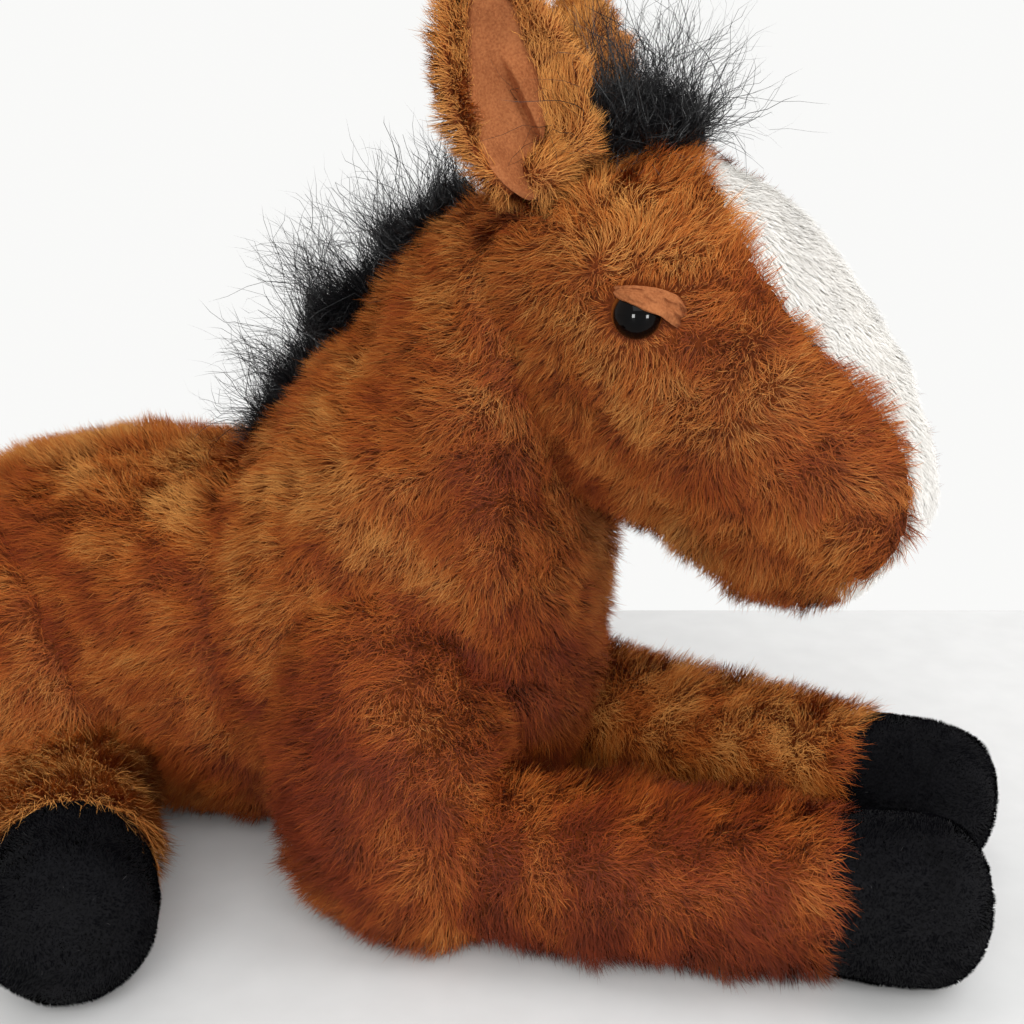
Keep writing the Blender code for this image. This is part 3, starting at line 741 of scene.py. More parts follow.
def eye_seat(side):
    """The eye's centre on the surface and its three axes: out, nose-ward and brow-ward."""
    turn, lift = math.radians(14), math.radians(6)
    out = ALONG_Y * side * math.cos(turn) + NOSE_WARD * math.sin(turn)
    out = (out * math.cos(lift) + BROW_WARD * math.sin(lift)).normalized()
    surface = head_point(0.17, 0.46, side * HEAD_HALF * 0.955)
    brow = (BROW_WARD - out * BROW_WARD.dot(out)).normalized()
    nose = (NOSE_WARD - out * NOSE_WARD.dot(out) - brow * NOSE_WARD.dot(brow)).normalized()
    return surface - out * 0.0026, out, nose, brow


def dome_middle(side):
    """The dome sits a little above the shank, towards the brow."""
    middle, _, nose, brow = eye_seat(side)
    return middle + nose * DOME_SHIFT[0] + brow * DOME_SHIFT[1]


def kept_part(points, faces):
    used = sorted({i for f in faces for i in f})
    place = {old: new for new, old in enumerate(used)}
    return points[used], [tuple(place[i] for i in f) for f in faces]


coat = make_coat()
in_panel = blaze_depth(np.array([coat.points[list(f)].mean(0) for f in coat.faces])) > 0
coat_faces = [face for face, white in zip(coat.faces, in_panel) if not white]
panel_faces = [face for face, white in zip(coat.faces, in_panel) if white]

coat_skin = mesh_object("coat_cloth", *kept_part(coat.points, coat_faces), fur_cloth)
dress(coat_skin, "neck", "fur_fabric", "rear_torso", "front_torso", "shoulder_left", "shoulder_right",
      "haunch_left", "haunch_right", "head")
panel_skin = mesh_object("face_panel_cloth", *kept_part(coat.points, panel_faces), white_cloth)
dress(panel_skin, "head", "face_fabric", "blaze")

limbs = [Limb(kind, name) for kind in ("fore", "hind") for name in SIDES]
for limb in limbs:
    kind, name = limb.kind, limb.name
    limb.sleeve = Skin(*fused([loft(limb.sleeve_rings(-CLOTH_DEPTH))], 0.0022, 3))
    limb.sleeve.swell(waves(limb.sleeve.points, 0.035, 21) * 0.0008, 0.0012)
    skin = mesh_object(f"{kind}_leg_cloth_{name}", limb.sleeve.points, limb.sleeve.faces, fur_cloth)
    dress(skin, limb.body, "fur_fabric", f"{kind}_leg_{name}")
    limb.hoof = Skin(*loft(limb.hoof_rings(-0.0008), 12, 3))
    limb.hoof.points[:, 2] = np.maximum(limb.hoof.points[:, 2], 0.0002)
    limb.hoof.refresh()
    skin = mesh_object(f"{kind}_hoof_cloth_{name}", limb.hoof.points, limb.hoof.faces, velour_cloth)
    dress(skin, limb.body, "hoof_velour", f"{kind}_hoof_{name}", f"{kind}_sole_{name}")


# Pile on the trunk and the head
def lid_edges(a):
    """The lid's lower and upper edge above the eye's middle, at a distance a nose-ward of it."""
    u = np.clip((a - LID_MIDDLE) / LID_HALF, -1, 1)
    low = 0.0036 + 0.0020 * u - 0.0011 * u**2 - 0.0008 * step_up(u, 0.3, 0.8)
    return low, low + 0.0009 + 0.0046 * np.clip(1 - u**4, 0, 1) ** 0.5 * (1 + 0.34 * u)


def near_eyes(points):
    """How far points lie from the nearer eye, the way from it, and whether its lid covers them."""
    reach = np.full(len(points), 1.0)
    away_from = np.zeros_like(points)
    covered = np.zeros(len(points), bool)
    for side in SIDES.values():
        _, out, nose, brow = (np.array(v) for v in eye_seat(side))
        away = points - row(dome_middle(side))
        a, b, c = away @ nose, away @ brow, away @ out
        distance = np.where(np.abs(c) < 0.02, np.hypot(a, b), 1.0)
        nearer = distance < reach
        reach[nearer] = distance[nearer]
        away_from[nearer] = (a[:, None] * nose + b[:, None] * brow)[nearer]
        low, high = lid_edges(a)
        inner = (np.abs(a - LID_MIDDLE) < LID_HALF - 0.0014) & (b > low - 0.001) & (b < high - 0.0016)
        covered |= inner & (np.abs(c) < 0.02)
    return reach, unit(away_from), covered


def coat_comb(points):
    """Down and back on the trunk; on the head away from a line along the cheek."""
    part = np.sign(points[:, 0] - SEAM) * bump(points[:, 0] - SEAM, 0.004)
    trunk = row((-0.80, 0, -0.75)) + swirl(points, 0.06, 31) * 0.36 + swirl(points, 0.018, 34) * 0.22
    trunk[:, 0] += part * 0.6
    rise = (points - row(head_point(0.3, 0.52))) @ np.array(BROW_WARD)
    spread = np.clip(rise / 0.03, -1, 1)
    head = row(BROW_WARD) * spread[:, None] * 0.9 + row(NOSE_WARD) * 0.25 + swirl(points, 0.04, 41) * 0.30
    head = head + swirl(points, 0.014, 44) * 0.26
    share = head_share(points)[:, None]
    return trunk * (1 - share) + head * share


# Places in millimetres, each with a size and a change of tone: partly the pile's own paler and redder places
# and partly painted light and shade
TONES = [
    (-50, 25, 120, 18, 0.18), (-40, 45, 103, 14, -0.16), (-57, 56, 58, 22, 0.20), (-78, 56, 75, 11, -0.20),
    (12, 45, 134, 16, 0.20), (35, 48, 117, 13, 0.18), (34, 55, 94, 13, -0.22), (66, 32, 73, 24, -0.22),
    (30, 75, 55, 38, -0.42), (47, 62, 74, 9, 0.14), (78, 33, 160, 16, 0.14), (66, 34, 180, 12, 0.12),
    (104, 32, 207, 16, 0.10), (124, 35, 182, 13, -0.26), (141, 31, 143, 15, -0.14), (162, 24, 137, 10, 0.20),
    (124, 16, 110, 12, 0.12), (61, 36, 142, 13, -0.28), (0, 21, 158, 18, 0.12), (-100, 8, 124, 22, 0.12),
]


def golden(points, normals):
    """Paler and redder places in the pile, the same on both sides, partly its own tone and partly painted
    light and shade, and painted light that makes it paler where it faces up.
    """
    spots = np.abs(points * 1000) * row((0, 1, 0)) + points * row((1000, 0, 1000))
    # Painted light: the pile is paler where it faces up.
    total = 0.06 * normals[:, 2]
    for x, y, z, size, change in TONES:
        total = total + change * bump(np.linalg.norm(spots - row((x, y, z)), axis=1), size)
    return total


def uneven(points, seeds, large, middling, rng):
    """Tones that drift over the cloth in large, middling and small patches, and from strand to strand."""
    tone = 0.50 + 0.10 * waves(points, large, seeds[0]) + 0.12 * waves(points, middling, seeds[1])
    return tone + 0.11 * waves(points, 0.010, seeds[2]) + rng.normal(size=len(points)) * 0.15


def grow_coat():
    rng = np.random.default_rng(5)
    denser = 2.4
    total = int(coat.area() * 1e6 * PILE_DENSITY * denser * share_grown)
    points, normals = coat.scatter(total, rng)
    white = blaze_depth(points) + waves(points, 0.006, 55) * 0.0006 > 0
    kept = white | (rng.random(total) < 1 / denser)
    points, normals, white = points[kept], normals[kept], white[kept]
    eyes, from_eye, covered = near_eyes(points)
    keep = (eyes > EYE_RADIUS - 0.0002) & ~covered
    keep &= ~((normals[:, 2] < -0.85) & (points[:, 2] < 0.004) & (rng.random(len(points)) > 0.3))
    keep &= ~inside(points, [tree_of(limb.sleeve) for limb in limbs])
    points, normals, white, eyes, from_eye = (a[keep] for a in (points, normals, white, eyes, from_eye))
    share = head_share(points)
    near = (1 - step_up(eyes, EYE_RADIUS, 0.016))[:, None]
    comb = unit(coat_comb(points)) * (1 - near) + from_eye * near * 1.2
    crease = creases_at(points)
    ring = seam_ring(points, 0.0038)
    length = PILE * (1 - 0.14 * share) * (1 + 0.10 * waves(points, 0.03, 61))
    length = length * (0.38 + 0.62 * step_up(eyes, EYE_RADIUS, 0.018))
    length = length * (1 - 0.40 * crease) * (1 - 0.36 * ring)
    comb[white] = (row(BLAZE_DOWN) + swirl(points, 0.03, 47) * 0.1)[white]
    length[white] = 0.0044
    curves, widths, sideways = pile(
        points, normals, comb, rng, length,
        lean=np.where(white, 1.3, 0.6),
        turn=np.where(white, 0.3, 0.9),
        wave=np.where(white, 0.0001, 0.0015)[:, None],
        pull=np.where(white, 0.0, 0.20),
        stray=np.where(white, 0.05, 0.12),
        mess=np.where(white, 0.10, 0.36)[:, None],
    )
    widths[white] *= 1.5
    tone = uneven(points, (62, 64, 63), 0.06, 0.024, rng)
    # Painted shade: the pile is darker in the creases where sewn sections meet and along the seam round the
    # trunk.
    tone = tone + 0.03 * share - 0.30 * crease - 0.22 * ring + golden(points, normals)
    bias = np.where(white, 0.0, 0.5)[:, None]
    upward = row((0, 0, 0.5)) * white[:, None]
    facing = unit(normals * 0.8 + unit(curves[:, -1] - curves[:, 0]) * bias + upward)
    tip_share = head_share(curves[:, -1])
    on_trunk = (share <= 0.0) & (tip_share <= 0)
    on_head = (share >= 1.0) & (tip_share >= 1)
    for label, mask in (("trunk", on_trunk), ("head", on_head), ("neck", ~(on_trunk | on_head))):
        for shade, of_shade, material, slot in (
            ("fur", ~white, fur, "fur_fabric"),
            ("white", white, white_pile, "face_fabric"),
        ):
            chosen = np.nonzero(mask & of_shade)[0]
            if len(chosen) == 0:
                continue
            order = chosen[np.argsort(points[chosen, 0], kind="stable")]
            strands = (curves, widths, sideways, tone, facing)
            lay(f"{label}_{shade}_pile_{{:02d}}", label, slot, material, order, strands)


grow_coat()


# Painted light and shade, leg by leg: the hind legs paler where the haunches shade them, and the near right
# foreleg darker than the far one.
LIMB_PAINTED_LIGHT_AND_SHADE = {
    ("fore", "left"): 0.0, ("fore", "right"): -0.42, ("hind", "left"): 0.2, ("hind", "right"): 0.30,
}


def grow_limb(limb, trees):
    rng = np.random.default_rng(100 + limbs.index(limb))
    total = int(limb.sleeve.area() * 1e6 * PILE_DENSITY * 2 * share_grown)
    points, normals = limb.sleeve.scatter(total, rng)
    ahead = (points - row(limb.root)) @ np.array(limb.heading)
    keep = ahead < limb.length - 0.0005
    keep &= (ahead > limb.length - 0.007) | (rng.random(total) < 0.5)
    keep &= (normals @ np.array(limb.heading)) < 0.8
    keep &= ~inside(points, trees)
    keep &= ~((normals[:, 2] < -0.85) & (points[:, 2] < 0.004) & (rng.random(total) > 0.3))
    points, normals, ahead = points[keep], normals[keep], ahead[keep]
    comb = row(limb.heading) * 0.7 + row((0, 0, -0.45)) + swirl(points, 0.05, 81) * 0.3
    cuff = step_up(ahead, limb.length - 0.012, limb.length - 0.001)
    comb = comb + swirl(points, 0.016, 87) * 0.25 * (1 - 0.7 * cuff)[:, None]
    over = cuff * step_up(normals[:, 2], 0.0, 0.6) * (limb.kind == "hind")
    length = PILE * (1 + 0.10 * waves(points, 0.03, 82)) + cuff * 0.0028 + over * 0.0105
    curves, widths, sideways = pile(points, normals, comb, rng, length, lean=0.6 + 0.42 * cuff + 0.2 * over)
    sag = np.linspace(0, 1, curves.shape[1]) ** 2
    curves[:, :, 2] -= over[:, None] * 0.0062 * sag[None, :]
    tone = uneven(points, (83, 86, 84), 0.05, 0.022, rng)
    # Painted light: the leg pile is paler where it faces up, plus each leg's painted light and shade.
    tone = tone + 0.20 * normals[:, 2] + LIMB_PAINTED_LIGHT_AND_SHADE[limb.kind, limb.name]
    facing = unit(normals * 0.8 + unit(curves[:, -1] - curves[:, 0]) * 0.5)
    order = np.argsort(ahead, kind="stable")
    label = f"{limb.kind}_leg_pile_{limb.name}_{{}}"
    lay(label, limb.body, "fur_fabric", fur, order, (curves, widths, sideways, tone, facing))


coat_tree = tree_of(coat)
for limb in limbs:
    grow_limb(limb, [coat_tree])


# Hooves' nap
def scattered(skin, per_mm2, rng):
    return skin.scatter(int(skin.area() * 1e6 * per_mm2 * share_grown), rng)


def grow_nap(limb):
    """Short velour nap, with a few pale fibres caught in it."""
    rng = np.random.default_rng(200 + limbs.index(limb))
    points, normals = scattered(limb.hoof, 3.2, rng)
    ahead = (points - row(limb.cuff)) @ np.array(limb.heading)
    keep = (ahead > -0.001) & ((points[:, 2] > 0.0012) | (rng.random(len(points)) > 0.7))
    points, normals = points[keep], normals[keep]
    count = len(points)
    comb = swirl(points, 0.02, 110) + row((0, 0, -0.3))
    lint = rng.random(count) < 0.002
    length = np.where(lint, 0.0020, 0.0010)
    curves, widths, sideways = pile(points, normals, comb, rng, length, lean=0.5, segments=1,
                                    wave=0.0003, width=0.00026)
    widths[lint] *= 0.5
    tone = np.where(lint, 1.0, np.clip(0.4 + rng.normal(size=count) * 0.15, 0, 0.86))
    name = f"{limb.kind}_hoof_nap_{limb.name}"
    made = strand_mesh(name, curves, widths, sideways, tone, velour_nap, normals)
    dress(made, limb.body, "hoof_velour")


for limb in limbs:
    grow_nap(limb)


# Eyes and lids
def lathe(name, profile, material, steps=64):
    """A turned form about its own Z, from (radius, height) pairs that start and end on the axis."""
    points, faces = [], []
    inner = profile[1:-1]
    for radius, height in inner:
        for step in range(steps):
            turn = 2 * math.pi * step / steps
            points.append((radius * math.cos(turn), radius * math.sin(turn), height))
    for k in range(len(inner) - 1):
        low, high = k * steps, (k + 1) * steps
        for step in range(steps):
            after = (step + 1) % steps
            faces.append((low + step, low + after, high + after, high + step))
    for end, ring in ((profile[0], 0), (profile[-1], len(inner) - 1)):
        points.append((0, 0, end[1]))
        tip = len(points) - 1
        for step in range(steps):
            pair = (ring * steps + step, ring * steps + (step + 1) % steps)
            faces.append((tip,) + (pair if ring else pair[::-1]))
    made = mesh_object(name, points, faces, material)
    reface(made.data)
    return made


DOME_FOOT, DOME_HEIGHT = 0.0005, 0.0067
STEM_RADIUS, STEM_END = 0.002, 0.0115


def eye_material():
    """Near black, with a thin amber rim where the dome meets its seat."""
    made, tree, link, shader = shader_of("eye_plastic", 0.05, 0.09)
    place = node_of(tree, "TexCoord")
    split = node_of(tree, "SeparateXYZ")
    height = math_node(tree, "DIVIDE", input_1=DOME_HEIGHT)
    tone = ramp(tree, tones((0.0, 160, 94, 40), (0.38, 112, 60, 24), (0.52, 16, 9, 6), (1.0, 3, 3, 4)))
    link(place.outputs["Object"], split.inputs["Vector"])
    link(split.outputs["Z"], height.inputs[0])
    link(height.outputs["Value"], tone.inputs["Fac"])
    link(tone.outputs["Color"], shader.inputs["Base Color"])
    return made


def seat_matrix(side):
    middle, out, nose, _ = eye_seat(side)
    matrix = Matrix((nose, out.cross(nose), out)).transposed().to_4x4()
    matrix.translation = middle
    return matrix


def make_eye(name, side, material):
    swell = DOME_HEIGHT - DOME_FOOT
    turns = np.linspace(0, math.pi / 2, 25)
    dome = [(EYE_RADIUS * math.sin(a), DOME_FOOT + swell * math.cos(a)) for a in turns]
    dome[0] = (0, dome[0][1])
    seat = [(EYE_RADIUS - 0.0002, 0.0002), (STEM_RADIUS, 0.0002)]
    stem = [(STEM_RADIUS, 0.0003 - STEM_END), (0, -STEM_END)]
    eye = lathe("eye_dome_" + name, dome + seat + stem, material)
    matrix = seat_matrix(side)
    turned = 1 if matrix.to_3x3().col[1].dot(eye_seat(side)[3]) > 0 else -1
    for vertex in eye.data.vertices:
        if vertex.co.z > 0:
            vertex.co.x += DOME_SHIFT[0]
            vertex.co.y += DOME_SHIFT[1] * turned
    eye.matrix_world = matrix
    dress(eye, "head", "eye_plastic", "eye_" + name)


def make_lid(name, side):
    """A folded strip of suede over the brow side of the eye, wrinkled along its length."""
    rows, columns = 30, 72
    v, u = np.meshgrid(np.linspace(0, 1, rows), np.linspace(-1, 1, columns), indexing="ij")
    a = LID_MIDDLE + LID_HALF * u
    low, high = lid_edges(a)
    b = low + (high - low) * v
    apart = np.hypot(a, b)
    dome = 0.0066 * np.sqrt(np.clip(1 - (apart / 0.0082) ** 2, 0, 1))
    flank = 0.0026 * (1 - 0.8 * v**3) * np.clip(1.15 - u**4, 0, 1)
    c = 0.0006 + np.hypot(dome, flank)
    along = np.stack([a * 0.4, b * 1.7, c * 0], 2).reshape(-1, 3)
    crease = waves(along, 0.0042, 120) * 0.00055 + waves(along, 0.0018, 125) * 0.00022
    for place, sway, depth in ((0.46, 0.09, 0.0004), (0.78, 0.06, 0.0009)):
        crease -= depth * bump(v - place - sway * np.sin(2.6 * u + 9 * place), 0.08).ravel()
    spots = np.stack([a, b, c], 2).reshape(-1, 3)
    spots[:, 2] += crease * np.minimum(v * 5, 1).ravel()
    _, out, nose, brow = eye_seat(side)
    world = row(dome_middle(side)) + spots @ np.array([nose, brow, out])
    lid = mesh_object("suede_lid_" + name, world, grid_faces(rows, columns), suede_cloth)
    reface(lid.data, out)
    thicken(lid, 0.0008)
    dress(lid, "head", "suede_cloth", "eyelid_" + name)


def thicken(thing, thickness):
    """Gives a sheet two faces and a round edge, in its own mesh."""
    solid = thing.modifiers.new("thickness", "SOLIDIFY")
    solid.thickness = thickness
    solid.offset = -1
    round_edge = thing.modifiers.new("round", "BEVEL")
    round_edge.width = thickness * 0.3
    round_edge.segments = 2
    round_edge.limit_method = "ANGLE"
    round_edge.angle_limit = math.radians(60)
    view = bpy.context.evaluated_depsgraph_get()
    done = bpy.data.meshes.new_from_object(thing.evaluated_get(view))
    old = thing.data
    thing.modifiers.clear()
    thing.data = done
    bpy.data.meshes.remove(old)
    thing.data.shade_smooth()


eye_plastic = eye_material()
washer_plastic = cloth_material("washer_plastic", srgb(214, 213, 208), srgb(228, 227, 222), 500, 0.5, 0.00002)
for name, side in SIDES.items():
    make_eye(name, side, eye_plastic)
    make_lid(name, side)
    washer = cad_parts["eye_washer_" + name].data
    washer.materials.clear()
    washer.materials.append(washer_plastic)


# Ears
class Ear:
    """A cupped leaf of fur cloth on a small stuffed root."""

    CUP, HALF, LENGTH, STEM = math.radians(62), 0.0165, 0.056, 0.002

    def __init__(self, name):
        self.name, self.side, self.body = name, SIDES[name], name + "_ear"
        self.root = head_point(-0.185, 0.56, self.side * HEAD_HALF * 0.62)
        back, out, turn = math.radians(21), math.radians(13), math.radians(52)
        self.rise = Vector((-math.sin(back), self.side * math.sin(out), 1)).normalized()
        face = Vector((math.cos(turn), self.side * math.sin(turn), 0))
        self.face = (face - self.rise * face.dot(self.rise)).normalized()
        self.across = self.rise.cross(self.face)

    def reach(self, along):
        width = np.sin(np.pi * np.clip(0.22 + 0.78 * along, 0, 1)) ** 0.8
        return np.maximum(self.HALF * width, self.HALF * 0.08) / math.sin(self.CUP)

    def sheet(self, along, turn, offset):
        """Points on the cupped leaf: along from root to tip, turn from -1 to 1 across it."""
        reach = self.reach(along)
        angle = self.CUP * turn
        radius = (reach - offset)[..., None]
        sine, cosine = np.sin(angle)[..., None], np.cos(angle)[..., None]
        out = sine * np.array(self.across) - cosine * np.array(self.face)
        shift = (reach * math.cos(self.CUP) + self.HALF * 0.45)[..., None]
        rise = (self.STEM + along * self.LENGTH)[..., None]
        return np.array(self.root) + rise * np.array(self.rise) + shift * np.array(self.face) + radius * out

    def place_of(self, points):
        """Along and turn of points, and how far they lie into the cup."""
        away = points - row(self.root)
        along = (away @ np.array(self.rise) - self.STEM) / self.LENGTH
        reach = self.reach(along)
        x = away @ np.array(self.across)
        y = (reach * math.cos(self.CUP) + self.HALF * 0.45) - away @ np.array(self.face)
        return along, np.arctan2(x, y) / self.CUP, reach - np.hypot(x, y)


def lining_span(along):
    """The suede's middle and half width across the cup, from the back edge at -1 to the front edge at 1."""
    middle = -0.15 - 0.50 * (1 - step_up(along, -0.10, 0.30)) + 0.75 * np.maximum(along - 0.30, 0)
    foot = np.clip((0.25 - along) / 0.36, 0, 0.995)
    half = np.sqrt(1 - foot**2) * (0.64 - 0.14 * step_up(along, 0.3, 0.6) - 0.22 * step_up(along, 0.7, 1.0))
    return middle, half


def shape_from(bm):
    """The points and faces of a working mesh, which is freed."""
    mesh = bpy.data.meshes.new("shape")
    bm.to_mesh(mesh)
    bm.free()
    shape = points_of(mesh), [tuple(p.vertices) for p in mesh.polygons]
    bpy.data.meshes.remove(mesh)
    return shape


def leaf_of(ear):
    """The ear's leaf as a closed form: a front, a back and the rim between them."""
    rows, columns = 26, 18
    v, u = np.meshgrid(np.linspace(-0.04, 1.0, rows), np.linspace(-1, 1, columns), indexing="ij")
    sides = [ear.sheet(v, u, depth).reshape(-1, 3) for depth in (0.0, -0.0030)]
    total = rows * columns
    faces = []
    for face in grid_faces(rows, columns):
        faces.append(face)
        faces.append(tuple(i + total for i in (face[0], face[3], face[2], face[1])))
    rim = [k * columns for k in range(rows)]
    rim += [(rows - 1) * columns + j for j in range(1, columns)]
    rim += [k * columns + columns - 1 for k in range(rows - 2, -1, -1)]
    rim += [j for j in range(columns - 2, 0, -1)]
    for first, after in zip(rim, rim[1:] + rim[:1]):
        faces.append((first, after, after + total, first + total))
    bm = bmesh.new()
    verts = [bm.verts.new(p) for p in np.vstack(sides)]
    for f in faces:
        bm.faces.new([verts[i] for i in f])
    bmesh.ops.recalc_face_normals(bm, faces=bm.faces)
    return shape_from(bm)


def make_ear(name):
    ear = Ear(name)
    ball = bmesh.new()
    bmesh.ops.create_icosphere(ball, subdivisions=4, radius=0.0070, matrix=Matrix.Translation(ear.root))
    skin = Skin(*fused([leaf_of(ear), shape_from(ball)], 0.0012, 4))
    skin.swell(waves(skin.points, 0.02, 130) * 0.0004, 0)
    cloth = mesh_object("ear_cloth_" + name, skin.points, skin.faces, fur_cloth)
    dress(cloth, ear.body, "fur_fabric", "ear_" + name)

    rng = np.random.default_rng(300 + ear.side)
    points, normals = scattered(skin, 3.9, rng)
    along, turn, deep = ear.place_of(points)
    inward = normals @ np.array(ear.face) > 0.1
    across = -ear.side * turn
    middle, half = lining_span(along)
    covered = inward & (np.abs(across - middle) < half - 0.05) & (along < 0.93) & (np.abs(deep) < 0.0022)
    buried = inside(points, [coat_tree], 0.002)
    keep = ~covered & ~buried
    points, normals, along, turn = (a[keep] for a in (points, normals, along, turn))
    count = len(points)
    edge = np.clip(np.abs(turn), 0, 1.2)
    outward = np.sign(turn)[:, None] * row(ear.across)
    low = step_up(-along, -0.22, 0.05)[:, None]
    comb = row(ear.rise) * (0.75 - 1.2 * low) + outward * (0.2 + 0.9 * edge[:, None]) - row(ear.face) * 0.1
    comb = comb + swirl(points, 0.02, 133) * 0.35 + row(ear.face) * low * 0.5
    length = 0.0060 * (1 + 0.10 * waves(points, 0.015, 131)) * (1 - 0.25 * step_up(along, 0.8, 1.0))
    lean = 0.75 + 0.5 * (inward[keep] & (np.abs(turn) > 0.6))
    curves, widths, sideways = pile(points, normals, comb, rng, length, lean=lean, mess=0.24)
    tone = 0.94 + 0.08 * waves(points, 0.02, 132) + rng.normal(size=count) * 0.12
    facing = unit(normals * 0.9 + unit(curves[:, -1] - curves[:, 0]) * 0.3)
    made = strand_mesh("ear_pile_" + name, curves, widths, sideways, tone, fur, facing)
    dress(made, ear.body, "fur_fabric")
    make_lining(ear)


def make_lining(ear):
    """A leaf of suede in the cup, with a soft fold down its outer half."""
    rows, columns = 80, 56
    v, w = np.meshgrid(np.linspace(-0.10, 0.95, rows), np.linspace(-1, 1, columns), indexing="ij")
    middle, half = lining_span(v)
    across = middle + half * w
    line = 0.20 - 0.22 * v
    fold = step_up(across, line - 0.02, line + 0.05) * (1 - 0.8 * step_up(across, line + 0.06, line + 0.45))
    span = step_up(v, -0.06, 0.08) * (1 - step_up(v, 0.36, 0.60))
    groove = bump(across - line + 0.03, 0.05) * span
    offset = 0.0014 + 0.0008 * (1 - np.abs(w)) ** 0.5 + fold * span * 0.0042 - groove * 0.0010
    offset = offset - 0.0014 * step_up(np.abs(w), 0.84, 1.0)
    spots = ear.sheet(v, -ear.side * across, offset).reshape(-1, 3)
    spots = spots + row(ear.face) * (waves(spots, 0.010, 140) * 0.00025)[:, None]
    lining = mesh_object("suede_lining_" + ear.name, spots, grid_faces(rows, columns), suede_cloth)
    reface(lining.data, ear.face)
    thicken(lining, 0.0007)
    dress(lining, ear.body, "suede_cloth", "ear_lining_" + ear.name)


for name in SIDES:
    make_ear(name)


# Mane, forelock and tail
TOPS = [centre + rise for centre, across, rise in chest_rings(-CLOTH_DEPTH)]
CREST_LOW, CREST_HIGH = TOPS[1], TOPS[-3]
CREST = (CREST_HIGH - CREST_LOW).normalized()
STAND = ALONG_Y.cross(-CREST).normalized()


def lay_hair(kind, body, order, most, strands, rng):
    tone = np.clip(0.4 + rng.normal(size=len(order)) * 0.2, 0, 1)
    lay(kind + "_hair_{}", body, "long_hair", black_hair, order, (*strands, tone), most)


def hair_roots(rng):
    """Places for hair, close together over the whole coat. Each kind keeps those on its own patch."""
    return coat.scatter(int(coat.area() * 1e6 * 10), rng)[0]


MANE_HALF = 0.0062


def make_mane():
    rng = np.random.default_rng(400)
    points = hair_roots(rng)
    away = points - row(CREST_LOW)
    along = (away @ np.array(CREST)) / (CREST_HIGH - CREST_LOW).length
    keep = (np.abs(points[:, 1]) < MANE_HALF) & (along > -0.03) & (along < 1.10)
    keep &= away @ np.array(STAND) > -0.02
    keep &= rng.random(len(points)) < share_grown
    points, along = points[keep], along[keep]
    count = len(points)
    sweep = 0.75 + 0.6 * step_up(along, 0.5, 1.0) + 0.5 * (1 - step_up(along, 0.0, 0.3))
    aims = row(STAND) * 0.9 + row(UP) * sweep[:, None] + rng.normal(size=(count, 3)) * 0.09
    aims[:, 1] += points[:, 1] / MANE_HALF * 0.16
    aims = aims + swirl(points, 0.02, 145) * 0.16
    longest = np.interp(along, [-0.03, 0.06, 0.25, 0.5, 0.8, 1.1], [0.032, 0.039, 0.046, 0.050, 0.044, 0.034])
    long = rng.random(count) < 0.09 + 0.07 * waves(points, 0.012, 147)
    reach = np.where(long, rng.uniform(0.55, 1.22, count), rng.uniform(0.28, 0.54, count))
    length = longest * reach * (1 + 0.12 * waves(points, 0.016, 146))
    strands = hair(points, aims, rng, length, frizz=0.23, width=0.00027, pull=0.22)
    lay_hair("mane", "neck", np.argsort(along, kind="stable"), MOST_HAIRS, strands, rng)
    rings = []
    for share in np.linspace(-0.03, 1.08, 9):
        spot = coat_tree[0].find_nearest(CREST_LOW.lerp(CREST_HIGH, float(share)))[0]
        thin = 0.6 + 0.4 * math.sin(math.pi * min(max(share, 0.0), 1.0))
        rings.append((spot, ALONG_Y * 0.0058 * thin, STAND * 0.0042 * thin))
    dress(mesh_object("mane_strip", *loft(rings), hair_cloth), "neck", "long_hair", "mane")


FORELOCK_X, FORELOCK_RADIUS = 0.0905, 0.0165


def make_forelock():
    rng = np.random.default_rng(410)
    points = hair_roots(rng)
    x = (points[:, 0] - FORELOCK_X) / FORELOCK_RADIUS
    y = points[:, 1] / FORELOCK_RADIUS
    keep = (x**2 + y**2 < 1) & (points[:, 2] > 0.20) & (rng.random(len(points)) < share_grown)
    points, x, y = points[keep], x[keep], y[keep]
    count = len(points)
    long = rng.random(count) < 0.13
    wide = np.where(long, 1.1, 0.45)
    aims = np.stack([(-0.36 + 0.66 * x) * wide, 0.32 * y, np.ones(count)], 1)
    aims = aims + rng.normal(size=(count, 3)) * 0.15 + swirl(points, 0.02, 150) * 0.22
    length = np.where(long, rng.uniform(0.026, 0.058, count), rng.uniform(0.014, 0.025, count))
    strands = hair(points, aims, rng, length, frizz=0.30, width=0.00026, pull=0.15)
    lay_hair("forelock", "head", np.argsort(y, kind="stable"), MOST_HAIRS, strands, rng)
    rings = []
    base = head_point(-0.06, 0.80)
    for level, size in ((-0.4, 0.7), (-0.15, 0.9), (0.04, 0.82), (0.18, 0.6), (0.26, 0.3)):
        centre = base + UP * (0.006 + 0.034 * level)
        rings.append((centre, ALONG_Y * 0.0155 * size, Vector((1, 0, 0)) * 0.0150 * size))
    dress(mesh_object("forelock_core", *loft(rings), hair_cloth), "head", "long_hair", "forelock")


TAIL_REACH, TAIL_HALF = 0.090, 0.018
TAIL_ROOT = Vector((SEAM - 0.955 * BARREL_LENGTH, 0, 0.68 * BARREL_HEIGHT))
TAIL_PATH = [
    (0.00, 0.00, 0.50), (0.14, 0.02, 0.62), (0.25, -0.12, 0.80), (0.30, -0.36, 0.98),
    (0.31, -0.64, 1.0), (0.34, -0.88, 0.80), (0.37, -1.00, 0.50),
]


